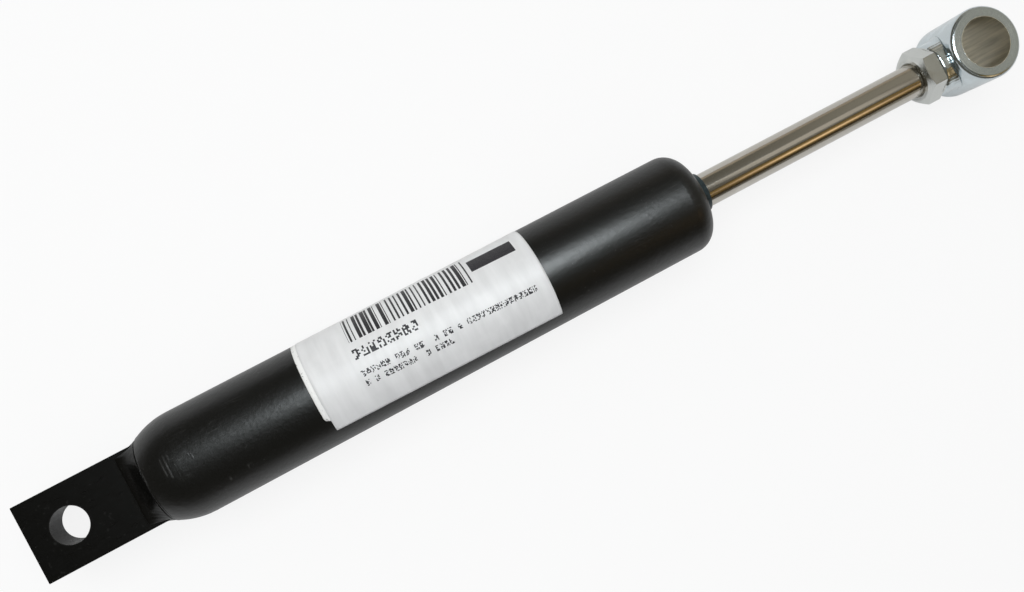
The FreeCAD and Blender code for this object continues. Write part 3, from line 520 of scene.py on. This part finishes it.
def make_sintered(name, base, shade):
    """Sintered iron: dull grey with fine dark pores."""
    material, tree, shader = new_material(name, Metallic=1.0)
    place = tree.object_place()
    grain = tree.use("Fine grain", Place=place, Scale=2600.0)["Height"]
    pores = tree.use("Spots", Place=place, Scale=3400.0, Cover=0.36, Softness=0.06)["Mask"]
    height = tree.math("SUBTRACT", grain, pores)
    join(
        tree, shader,
        Base_Color=tree.blend(pores, base, shade),
        Roughness=tree.remap(grain, 0.3, 0.7, 0.42, 0.58),
        Normal=tree.bump(height, SINTERED_GRAIN),
    )
    return material


def make_soft(name, base, shade, rough):
    """Rubber or plastic: matt, finely grained, with rubbed and dusty patches."""
    material, tree, shader = new_material(name, Specular_IOR_Level=0.45)
    place = tree.object_place()
    grain = tree.use("Fine grain", Place=place, Scale=1300.0)["Height"]
    dusty = tree.use("Spots", Place=place, Scale=300.0, Cover=0.42, Softness=0.14)["Mask"]
    join(
        tree, shader,
        Base_Color=tree.blend(dusty, base, shade),
        Roughness=tree.remap(grain, 0.3, 0.7, rough, rough + 0.12),
        Normal=tree.bump(grain, RUBBER_GRAIN),
    )
    return material


# Print on the label. Along and up are millimetres from the label's lower rear corner.
# Uneven bars: where they start and end along, and their lower and upper edge
BARS = (21.2, 79.3, 32.8, 50.0)
# Distance from bar to bar, and the narrowest and widest bar as shares of it
BAR_PITCH = 2.0
BAR_WIDTHS = (0.18, 0.88)
# A plain dark block: start, end, lower and upper edge
BLOCK = (80.6, 101.6, 37.9, 45.7)
# Lines of meaningless marks: start, number of marks, lower edge, height and share of gaps
MARK_LINES = (
    (20.5, 8, 24.6, 4.6, 0.0),
    (20.0, 37, 17.0, 2.7, 0.14),
    (20.0, 19, 12.8, 2.6, 0.14),
)
# Cells of a mark up and along, the gap after it in cells, and the share of its cells that stay light
MARK_ROWS = 6
MARK_COLUMNS = 4
MARK_GAP = 0.9
MARK_LIGHT = 0.44
# Keeps the draws of one line of marks apart from those of the next
MARK_LINE_STEP = 50.0


def print_area(tree, area, along, up, end_edge, side_edge):
    """1 inside an area of the print, given as start, end, lower and upper edge."""
    start, end, low, high = area
    wide = tree.use("Strip", Value=along, Low=start, High=end, Softness=end_edge)["Mask"]
    tall = tree.use("Strip", Value=up, Low=low, High=high, Softness=side_edge)["Mask"]
    return tree.math("MULTIPLY", wide, tall)


def print_marks(tree, number, along, up):
    """One line of meaningless marks, each a few dark cells of a small grid."""
    first, count, low, tall, gaps = MARK_LINES[number]
    cell = tall / MARK_ROWS
    step = MARK_COLUMNS + MARK_GAP
    column = tree.math("DIVIDE", tree.math("SUBTRACT", along, first), cell)
    row = tree.math("FLOOR", tree.math("DIVIDE", tree.math("SUBTRACT", up, low), cell))
    mark = tree.math("ADD", tree.math("FLOOR", tree.math("DIVIDE", column, step)), MARK_LINE_STEP * number)
    across = tree.math("FLOORED_MODULO", column, step)
    spot = tree.add("ShaderNodeCombineXYZ", {0: tree.math("FLOOR", across), 1: row, 2: mark}).outputs[0]
    chance = tree.add("ShaderNodeTexWhiteNoise", {"Vector": spot}, noise_dimensions="3D").outputs["Value"]
    used = tree.add("ShaderNodeTexWhiteNoise", {"W": mark}, noise_dimensions="1D").outputs["Value"]
    dark = tree.math("GREATER_THAN", chance, MARK_LIGHT)
    dark = tree.math("MULTIPLY", dark, tree.math("GREATER_THAN", used, gaps))
    drawn = tree.math("MULTIPLY", dark, tree.math("LESS_THAN", across, float(MARK_COLUMNS)))
    area = (first, first + count * step * cell, low, low + tall)
    return tree.math("MULTIPLY", drawn, print_area(tree, area, along, up, 0.02, 0.02))


def make_label_paper(settings):
    """Satin label paper with plain uneven bars, a dark block and meaningless marks, clouded by handling."""
    material, tree, shader = new_material("label_paper", Specular_IOR_Level=0.3)
    corner = tree.add("ShaderNodeTexCoord").outputs["UV"]
    parts = tree.split(corner)
    along = tree.math("MULTIPLY", parts[0], 1 / MM)
    level = tree.math("MULTIPLY", parts[1], 1 / MM)
    up = tree.math("MULTIPLY_ADD", along, -math.tan(settings.print_tilt), level)
    pitches = tree.math("DIVIDE", along, BAR_PITCH)
    cell = tree.math("FLOOR", pitches)
    chance = tree.add("ShaderNodeTexWhiteNoise", {"W": cell}, noise_dimensions="1D").outputs["Value"]
    dark = tree.math("LESS_THAN", tree.math("FRACT", pitches), tree.remap(chance, 0.05, 0.95, *BAR_WIDTHS))
    printed = tree.math("MULTIPLY", dark, print_area(tree, BARS, along, up, 0.04, 0.06))
    printed = tree.math("MAXIMUM", printed, print_area(tree, BLOCK, along, up, 0.06, 0.06))
    for number in range(len(MARK_LINES)):
        printed = tree.math("MAXIMUM", printed, print_marks(tree, number, along, up))
    place = tree.object_place()
    fibre = tree.use("Fine grain", Place=place, Scale=1800.0)["Height"]
    cloud = tree.use("Spots", Place=place, Scale=70.0, Cover=0.5, Softness=0.25)["Mask"]
    wiped = tree.remap(tree.noise(tree.stretched(place, (1.0, 0.16, 0.16)), 260.0, 4.0), 0.35, 0.68)
    handled = tree.math("MULTIPLY_ADD", wiped, 0.6, tree.math("MULTIPLY", cloud, 0.4))
    greyed = tuple(part * 0.86 for part in settings.paper)
    paper = tree.blend(handled, settings.paper, greyed)
    faded = tree.math("MULTIPLY", printed, tree.remap(fibre, 0.3, 0.6, 0.95, 1.0))
    join(
        tree, shader,
        Base_Color=tree.blend(faded, paper, settings.ink),
        Roughness=tree.remap(fibre, 0.3, 0.7, 0.4, 0.52),
        Normal=tree.bump(fibre, PAPER_FIBRE),
    )
    return material


def make_old_paper(settings):
    """Yellowed matt paper with small dirt marks."""
    material, tree, shader = new_material("old_label_paper", Specular_IOR_Level=0.4)
    place = tree.object_place()
    fibre = tree.use("Fine grain", Place=place, Scale=1500.0)["Height"]
    dirt = tree.use("Spots", Place=place, Scale=620.0, Cover=0.33, Softness=0.05)["Mask"]
    brown = tuple(part * 0.55 for part in settings.old_paper)
    join(
        tree, shader,
        Base_Color=tree.blend(dirt, settings.old_paper, brown),
        Roughness=tree.remap(fibre, 0.3, 0.7, 0.6, 0.75),
        Normal=tree.bump(fibre, OLD_PAPER_FIBRE),
    )
    return material


# Finishes of the hidden pieces: base colour, shade, roughness and the nodes that have it
HIDDEN_TURNED = {
    "turned_steel": ((0.45, 0.44, 0.42), (0.3, 0.28, 0.25), 0.34, (
        "base_cap", "guide_stop_ring", "rebound_stop_collar", "piston_nut", "compression_support_washer",
        "rebound_support_washer")),
    "spring_steel": ((0.4, 0.42, 0.45), (0.3, 0.3, 0.32), 0.26, (
        "compression_disc_1", "compression_disc_2", "compression_disc_3", "rebound_disc_1", "rebound_disc_2",
        "rebound_disc_3")),
    "guide_bronze": ((0.6, 0.39, 0.18), (0.42, 0.26, 0.11), 0.36, ("guide_bush",)),
    "turned_aluminium": ((0.7, 0.71, 0.72), (0.56, 0.56, 0.56), 0.3, ("floating_piston",)),
}
HIDDEN_SINTERED = ("rod_guide", "piston_body")
HIDDEN_SOFT = {
    "seal_rubber": ((0.016, 0.016, 0.017), (0.035, 0.034, 0.032), 0.55, (
        "base_o_ring", "guide_o_ring", "floating_o_ring", "rod_seal", "rebound_bumper")),
    "band_plastic": ((0.1, 0.082, 0.055), (0.07, 0.056, 0.038), 0.45, ("piston_band", "floating_band")),
}


def dress(nodes, material):
    """Gives CAD nodes a material in all their slots."""
    for name in nodes:
        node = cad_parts[name]
        if not node.material_slots:
            node.data.materials.append(material)
        for slot in node.material_slots:
            slot.material = material


# Meshes


def add_piece(name, mesh, material, body, replaced=()):
    """Puts a finished mesh into the scene on a body of the damper."""
    mesh.materials.clear()
    mesh.materials.append(material)
    mesh.polygons.foreach_set("use_smooth", [True] * len(mesh.polygons))
    piece = bpy.data.objects.new(name, mesh)
    bpy.context.scene.collection.objects.link(piece)
    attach(piece, body)
    for node in replaced:
        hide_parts(node)


def even_mesh(node, voxel):
    """A copy of a node's mesh with small even faces."""
    shell = bpy.data.objects.new(f"{node}_shell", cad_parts[node].data.copy())
    bpy.context.scene.collection.objects.link(shell)
    remesh = shell.modifiers.new("Even faces", "REMESH")
    remesh.mode = "VOXEL"
    remesh.voxel_size = voxel
    ready = shell.evaluated_get(bpy.context.evaluated_depsgraph_get())
    mesh = bpy.data.meshes.new_from_object(ready)
    bpy.data.objects.remove(shell)
    return mesh


def shape_mesh(mesh, rounds, lift):
    """Smooths a mesh, then moves each point along its normal by what lift says."""
    work = bmesh.new()
    work.from_mesh(mesh)
    for _ in range(rounds):
        bmesh.ops.smooth_vert(work, verts=work.verts, factor=0.5,
                              use_axis_x=True, use_axis_y=True, use_axis_z=True)
    work.normal_update()
    moves = [vertex.normal * lift(vertex.co) for vertex in work.verts]
    for vertex, move in zip(work.verts, moves):
        vertex.co += move
    work.to_mesh(mesh)
    work.free()


def ripple(phase):
    """One ripple of a weld: a steep front and a long back, from -1 to 1."""
    part = phase - math.floor(phase)
    return 1 - 2 * part ** 0.6


# Size of the faces of a label, along and round the tube
SHEET_CELL_ALONG = 1.2 * MM
SHEET_CELL_AROUND = 1.0 * MM


def curved_sheet(name, settings, start, end, low, high, base, corner, lift):
    """A thin sheet on the tube. Its outline is start to end along and low to high round the tube."""
    radius = settings.tube_radius
    width = end - start
    height = (high - low) * radius
    columns = max(8, round(width / SHEET_CELL_ALONG))
    rows = max(8, round(height / SHEET_CELL_AROUND))
    skew = math.tan(settings.skew)
    work = bmesh.new()
    uv = work.loops.layers.uv.new("Label")
    place = {}

    def inset(row_height):
        """How far the side edges draw in at the rounded corners."""
        near = min(row_height, height - row_height)
        if near >= corner:
            return 0.0
        return corner - math.sqrt(max(0.0, corner ** 2 - (corner - near) ** 2))

    def grid(raise_by):
        """One face of the sheet, as rows of points."""
        lines = []
        for row in range(rows + 1):
            up = height * row / rows
            edge = inset(up)
            line = []
            for column in range(columns + 1):
                along = edge + (width - 2 * edge) * column / columns
                turn = low + up / radius + along * skew / radius
                reach = radius + base + raise_by + lift(along, up)
                vertex = work.verts.new((start + along, reach * math.sin(turn), reach * math.cos(turn)))
                place[vertex] = (along, up)
                line.append(vertex)
            lines.append(line)
        return lines

    def face(corners):
        """A face with its place in the label, in metres."""
        made = work.faces.new(corners)
        for loop in made.loops:
            loop[uv].uv = place[loop.vert]

    outer = grid(settings.thickness)
    inner = grid(0.0)
    for row in range(rows):
        for column in range(columns):
            here, above = outer[row], outer[row + 1]
            face((here[column], here[column + 1], above[column + 1], above[column]))
            here, above = inner[row], inner[row + 1]
            face((here[column], above[column], above[column + 1], here[column + 1]))
    for row in range(rows):
        face((outer[row][0], outer[row + 1][0], inner[row + 1][0], inner[row][0]))
        face((outer[row][-1], inner[row][-1], inner[row + 1][-1], outer[row + 1][-1]))
    for column in range(columns):
        face((outer[0][column], inner[0][column], inner[0][column + 1], outer[0][column + 1]))
        face((outer[-1][column], outer[-1][column + 1], inner[-1][column + 1], inner[-1][column]))
    bmesh.ops.recalc_face_normals(work, faces=work.faces)
    mesh = bpy.data.meshes.new(name)
    work.to_mesh(mesh)
    work.free()
    return mesh


# Steps


# The lamp for soft light: middle, length, width, radiance and colour
LAMP_PLACE = (0.06, 0.19, 0.95)
LAMP_LENGTH = 1.0
LAMP_WIDTH = 0.7
LAMP_RADIANCE = 2.8
LAMP_COLOUR = (0.97, 1.0, 1.0)
# Cards that only glossy surfaces show: name, middle, length, width, soft edge of the ends in metres, and
# colour with strength
CARDS = (
    ("sheen_card", (0.28, 0.155, 0.82), 0.6, 0.36, 0.3, (21.0, 22.6, 23.2)),
    ("pale_card", (0.8, 0.06, 0.85), 0.45, 0.36, 0.05, (0.6, 0.57, 0.5)),
    ("gold_card", (0.825, -0.62, 0.63), 0.5, 0.22, 0.25, (1.5, 1.06, 0.58)),
    ("amber_card", (1.0, -0.86, 0.86), 1.0, 0.96, 0.05, (0.28, 0.19, 0.065)),
    ("brown_card", (0.85, -1.0, 0.4), 0.7, 0.3, 0.05, (0.05, 0.035, 0.018)),
    ("side_card", (0.8, 1.0, 0.15), 0.8, 0.4, 0.05, (0.45, 0.4, 0.32)),
)
# Soft edge of a card's sides, as a share of its width
CARD_EDGE = 0.18
# The point that all cards face
CARD_AIM = (0.37, 0, 0)
# Half the floor's length and width, and the tone of its faint clouds as a share of its colour
FLOOR_REACH = 4.0
FLOOR_CLOUD = 0.985


def flat_mesh(name, half_length, half_width, level=0.0):
    """One level face that looks up, at a height over the origin."""
    corners = [(-half_length, -half_width, level), (half_length, -half_width, level),
               (half_length, half_width, level), (-half_length, half_width, level)]
    mesh = bpy.data.meshes.new(name)
    mesh.from_pydata(corners, [], [(0, 1, 2, 3)])
    return mesh


def bare_material(name):
    """A material without nodes, and its tree."""
    material = bpy.data.materials.new(name)
    material.use_nodes = True
    material.node_tree.nodes.clear()
    return material, Tree(material.node_tree)


def face_point(thing, place, target):
    """Puts a lamp or card at a place and turns its face to a target."""
    thing.location = place
    aim = Vector(target) - Vector(place)
    thing.rotation_euler = aim.to_track_quat("-Z", "Y").to_euler()


class DAMPER_OT_set_stage(bpy.types.Operator):
    """Sets up the camera, the soft lamp, the room, its cards and the pale floor"""
    bl_idname = "damper.set_stage"
    bl_label = "Set the stage"

    def execute(self, context):
        scene = context.scene
        settings = scene.damper_stage
        lean, turn = settings.camera_lean, settings.camera_turn
        roll = Matrix.Rotation(settings.camera_roll, 3, "X")
        across = roll @ Vector((math.cos(lean), 0, math.sin(lean)))
        side = roll @ Vector((0, 1, 0))
        back = roll @ Vector((-math.sin(lean), 0, math.cos(lean)))
        right = across * math.cos(turn) - side * math.sin(turn)
        up = across * math.sin(turn) + side * math.cos(turn)
        lens = bpy.data.cameras.new("Camera")
        lens.lens = settings.lens
        lens.sensor_width = 36
        lens.clip_start = 0.01
        lens.clip_end = 50
        camera = bpy.data.objects.new("Camera", lens)
        scene.collection.objects.link(camera)
        camera.matrix_world = Matrix((
            (right.x, up.x, back.x, settings.camera_place[0]),
            (right.y, up.y, back.y, settings.camera_place[1]),
            (right.z, up.z, back.z, settings.camera_place[2]),
            (0, 0, 0, 1),
        ))
        scene.camera = camera
        scene.view_settings.view_transform = "Standard"
        self.hang_lamp(scene)
        self.paint_room(scene, settings)
        self.hang_cards(scene)
        self.lay_floor(scene, settings)
        return {"FINISHED"}

    @staticmethod
    def hang_lamp(scene):
        """A broad lamp for the soft light and the shadow; the cards give the sheen."""
        area = bpy.data.lights.new("Soft lamp", "AREA")
        area.shape = "RECTANGLE"
        area.size = LAMP_LENGTH
        area.size_y = LAMP_WIDTH
        area.energy = LAMP_RADIANCE * math.pi * LAMP_LENGTH * LAMP_WIDTH
        area.color = LAMP_COLOUR
        lamp = bpy.data.objects.new("Soft lamp", area)
        scene.collection.objects.link(lamp)
        face_point(lamp, LAMP_PLACE, (LAMP_PLACE[0], 0, 0))
        lamp.visible_glossy = False

    @staticmethod
    def hang_cards(scene):
        """Glowing cards with soft edges, which only polished surfaces show."""
        for name, middle, along, across, end_edge, glow in CARDS:
            mesh = flat_mesh(name, along / 2, across / 2)
            material, tree = bare_material(name)
            place = tree.split(tree.object_place())
            strength = 1.0
            for part, size, edge in ((place[0], along, end_edge), (place[1], across, CARD_EDGE * across)):
                inside = tree.math("SUBTRACT", size / 2, tree.math("ABSOLUTE", part))
                strength = tree.math("MULTIPLY", strength, tree.remap(inside, 0.0, edge, smooth=True))
            glowing = tree.add("ShaderNodeEmission", {"Color": (*glow, 1.0), "Strength": strength}).outputs[0]
            clear = tree.add("ShaderNodeBsdfTransparent").outputs[0]
            covered = tree.math("GREATER_THAN", strength, 0.0)
            mixed = tree.add("ShaderNodeMixShader", {0: covered, 1: clear, 2: glowing}).outputs[0]
            tree.add("ShaderNodeOutputMaterial", {"Surface": mixed})
            mesh.materials.append(material)
            card = bpy.data.objects.new(name, mesh)
            scene.collection.objects.link(card)
            face_point(card, middle, CARD_AIM)
            card.visible_camera = False
            card.visible_diffuse = False
            card.visible_shadow = False

    @staticmethod
    def paint_room(scene, settings):
        """A world that is white behind the object, dim in polished metal and a soft light from one side."""
        world = bpy.data.worlds.new("Room")
        world.use_nodes = True
        tree = Tree(world.node_tree)
        way = tree.split(tree.add("ShaderNodeTexCoord").outputs["Generated"])
        ahead = tree.remap(way[0], 0.3, 0.6, smooth=True)
        mirrored = tree.blend(ahead, settings.room_above, settings.room_ahead)
        soft = tree.blend(tree.remap(way[1], -1.0, 1.0), settings.fill_near, settings.fill_far)
        light_path = tree.add("ShaderNodeLightPath").outputs
        lit = tree.blend(light_path["Is Glossy Ray"], soft, mirrored)
        seen = tree.blend(light_path["Is Camera Ray"], lit, (1.0, 1.0, 1.0))
        world.node_tree.links.new(seen, world.node_tree.nodes["Background"].inputs["Color"])
        scene.world = world

    @staticmethod
    def lay_floor(scene, settings):
        """The floor that the tube lies on. The camera sees it nearly white, and it keeps the shadow."""
        mesh = flat_mesh("Floor", FLOOR_REACH, FLOOR_REACH, cad_box[0].z)
        material, tree = bare_material("pale_floor")
        cloud = tree.noise(tree.object_place(), 60.0, 3.0)
        clouded = tuple(part * FLOOR_CLOUD for part in settings.floor_colour)
        tone = tree.blend(tree.remap(cloud, 0.3, 0.7), settings.floor_colour, clouded)
        matt = tree.add("ShaderNodeBsdfDiffuse", {"Color": tone}).outputs[0]
        glow = tree.add("ShaderNodeEmission", {"Color": (1, 1, 1, 1), "Strength": 1.0}).outputs[0]
        light_path = tree.add("ShaderNodeLightPath").outputs
        mirrored = tree.math("MULTIPLY", light_path["Is Glossy Ray"], settings.mirrored_glow)
        seen = tree.math("MULTIPLY_ADD", light_path["Is Camera Ray"], settings.floor_glow, mirrored)
        mixed = tree.add("ShaderNodeMixShader", {0: seen, 1: matt, 2: glow}).outputs[0]
        tree.add("ShaderNodeOutputMaterial", {"Surface": mixed})
        mesh.materials.append(material)
        floor = bpy.data.objects.new("Floor", mesh)
        scene.collection.objects.link(floor)


class DAMPER_OT_build_effects(bpy.types.Operator):
    """Builds the effects that the materials share"""
    bl_idname = "damper.build_effects"
    bl_label = "Build shared effects"

    def execute(self, context):
        make_effects()
        return {"FINISHED"}


class DAMPER_OT_paint_housing(bpy.types.Operator):
    """Paints the tube, the lug and the seal cover black and adds the rippled lug weld"""
    bl_idname = "damper.paint_housing"
    bl_label = "Paint the housing"

    def execute(self, context):
        settings = context.scene.damper_paint
        welds = context.scene.damper_weld
        tube_paint = make_tube_paint(settings)
        lug_paint = make_lug_paint(settings)
        dress(("cylinder_tube", "seal_cover"), tube_paint)
        dress(("mounting_lug", "lug_weld_bead"), lug_paint)
        mesh = even_mesh("lug_weld_bead", welds.voxel)

        def lift(point):
            """Ripples that bow along the weld, over larger lumps."""
            bow = (point.x - LUG_WELD_X) ** 2 * LUG_WELD_BOW
            wave = ripple((point.y + bow) / welds.ripple_pitch) * welds.lug_ripple
            lump = noise.noise(point * LUG_WELD_LUMPS) * welds.lumps
            return wave + lump

        shape_mesh(mesh, 6, lift)
        add_piece("lug_weld", mesh, lug_paint, "housing", ("lug_weld_bead",))
        return {"FINISHED"}


class DAMPER_OT_finish_rod(bpy.types.Operator):
    """Chromes the piston rod"""
    bl_idname = "damper.finish_rod"
    bl_label = "Chrome the rod"

    def execute(self, context):
        dress(("piston_rod",), make_chrome(context.scene.damper_metal))
        return {"FINISHED"}


class DAMPER_OT_finish_eye(bpy.types.Operator):
    """Plates the rod eye with bright zinc and adds its uneven weld"""
    bl_idname = "damper.finish_eye"
    bl_label = "Plate the rod eye"

    def execute(self, context):
        welds = context.scene.damper_weld
        zinc = make_zinc(context.scene.damper_metal)
        dress(("eye_barrel", "eye_socket", "eye_weld_bead"), zinc)
        mesh = even_mesh("eye_weld_bead", welds.voxel)

        def lift(point):
            """Ripples that run round the socket, over larger lumps."""
            turn = math.atan2(point.y, point.z)
            wave = ripple(turn * EYE_WELD_RADIUS / welds.ripple_pitch) * welds.eye_ripple
            lump = noise.noise(point * EYE_WELD_LUMPS) * welds.lumps
            return wave + lump

        shape_mesh(mesh, 3, lift)
        add_piece("eye_weld", mesh, zinc, "rod", ("eye_weld_bead",))
        return {"FINISHED"}


class DAMPER_OT_finish_seals(bpy.types.Operator):
    """Gives the wiper and the hidden rubber and plastic pieces their finish"""
    bl_idname = "damper.finish_seals"
    bl_label = "Finish the seals"

    def execute(self, context):
        wiper = make_soft("wiper_teal_rubber", (0.006, 0.017, 0.022), (0.014, 0.03, 0.036), 0.34)
        dress(("wiper_seal",), wiper)
        for name, (base, shade, rough, nodes) in HIDDEN_SOFT.items():
            dress(nodes, make_soft(name, base, shade, rough))
        return {"FINISHED"}


class DAMPER_OT_finish_insides(bpy.types.Operator):
    """Gives the hidden metal pieces their finish"""
    bl_idname = "damper.finish_insides"
    bl_label = "Finish the insides"

    def execute(self, context):
        for name, (base, shade, rough, nodes) in HIDDEN_TURNED.items():
            dress(nodes, make_turned_metal(name, base, shade, rough))
        dress(HIDDEN_SINTERED, make_sintered("sintered_iron", (0.24, 0.24, 0.245), (0.07, 0.068, 0.066)))
        return {"FINISHED"}


# The older label: how far it stands out behind the newer one, how far it goes on under it, its lower and
# upper edge round the tube in degrees, and the radius of its corners
OLD_OVERHANG = 2.2 * MM
OLD_REACH = 62 * MM
OLD_EDGES = (-31, 84)
OLD_CORNER = 2.2 * MM
# Radius of the newer label's corners
NEW_CORNER = 0.15 * MM
# Gap under a label
LABEL_GAP = 0.02 * MM
# Length over which the newer label comes down from the older one, along and round the tube
STEP_ALONG = 1.5 * MM
STEP_AROUND = 1.2 * MM
# Waves of the newer label per metre, and their height
WAVES_PER_METRE = 90
WAVE_HEIGHT = 0.035 * MM


class DAMPER_OT_stick_labels(bpy.types.Operator):
    """Sticks the older label and the newer one over it on the tube"""
    bl_idname = "damper.stick_labels"
    bl_label = "Stick on the labels"

    def execute(self, context):
        settings = context.scene.damper_label
        old_start = settings.start - OLD_OVERHANG
        old_end = settings.start + OLD_REACH
        old_low, old_high = (math.radians(edge) for edge in OLD_EDGES)

        def flat(along, up):
            """The older label lies flat."""
            return 0.0

        old = curved_sheet("older_label", settings, old_start, old_end, old_low, old_high,
                           LABEL_GAP, OLD_CORNER, flat)
        add_piece("older_label", old, make_old_paper(settings), "housing")

        def draped(along, up):
            """The newer label steps down where the older one ends, and has faint waves."""
            step = (settings.start + along - old_end) / STEP_ALONG
            turn = up / settings.tube_radius + settings.low_angle - old_low
            low_step = turn * settings.tube_radius / STEP_AROUND
            over = min(1.0, max(0.0, 1 - step)) * min(1.0, max(0.0, low_step))
            spot = Vector((along * WAVES_PER_METRE, up * WAVES_PER_METRE, 3))
            wave = noise.noise(spot) * WAVE_HEIGHT
            return over * (settings.thickness + LABEL_GAP) + abs(wave)

        new = curved_sheet("paper_label", settings, settings.start, settings.end, settings.low_angle,
                           settings.high_angle, LABEL_GAP, NEW_CORNER, draped)
        add_piece("paper_label", new, make_label_paper(settings), "housing")
        return {"FINISHED"}


class DAMPER_PT_looks(bpy.types.Panel):
    """Lists the steps that dress the damper"""
    bl_label = "Damper looks"
    bl_idname = "DAMPER_PT_looks"
    bl_space_type = "VIEW_3D"
    bl_region_type = "UI"
    bl_category = "Damper"

    def draw(self, context):
        for name in SETTINGS:
            column = self.layout.column(align=True)
            group = getattr(context.scene, name)
            for key in group.bl_rna.properties.keys():
                if key not in ("rna_type", "name"):
                    column.prop(group, key)
        for step in STEPS:
            self.layout.operator(step.bl_idname)


SETTINGS = {
    "damper_stage": DamperStageSettings,
    "damper_paint": DamperPaintSettings,
    "damper_metal": DamperMetalSettings,
    "damper_weld": DamperWeldSettings,
    "damper_label": DamperLabelSettings,
}
STEPS = (
    DAMPER_OT_set_stage,
    DAMPER_OT_build_effects,
    DAMPER_OT_paint_housing,
    DAMPER_OT_finish_rod,
    DAMPER_OT_finish_eye,
    DAMPER_OT_finish_seals,
    DAMPER_OT_finish_insides,
    DAMPER_OT_stick_labels,
)


def register():
    """Registers the settings, the steps and the panel."""
    for name, group in SETTINGS.items():
        bpy.utils.register_class(group)
        setattr(bpy.types.Scene, name, PointerProperty(type=group))
    for step in STEPS:
        bpy.utils.register_class(step)
    bpy.utils.register_class(DAMPER_PT_looks)


def unregister():
    """Takes back what register did."""
    bpy.utils.unregister_class(DAMPER_PT_looks)
    for step in reversed(STEPS):
        bpy.utils.unregister_class(step)
    for name, group in SETTINGS.items():
        delattr(bpy.types.Scene, name)
        bpy.utils.unregister_class(group)


def main():
    """Dresses the damper."""
    register()
    for step in STEPS:
        area, name = step.bl_idname.split(".")
        getattr(getattr(bpy.ops, area), name)()


if __name__ == "__main__":
    main()
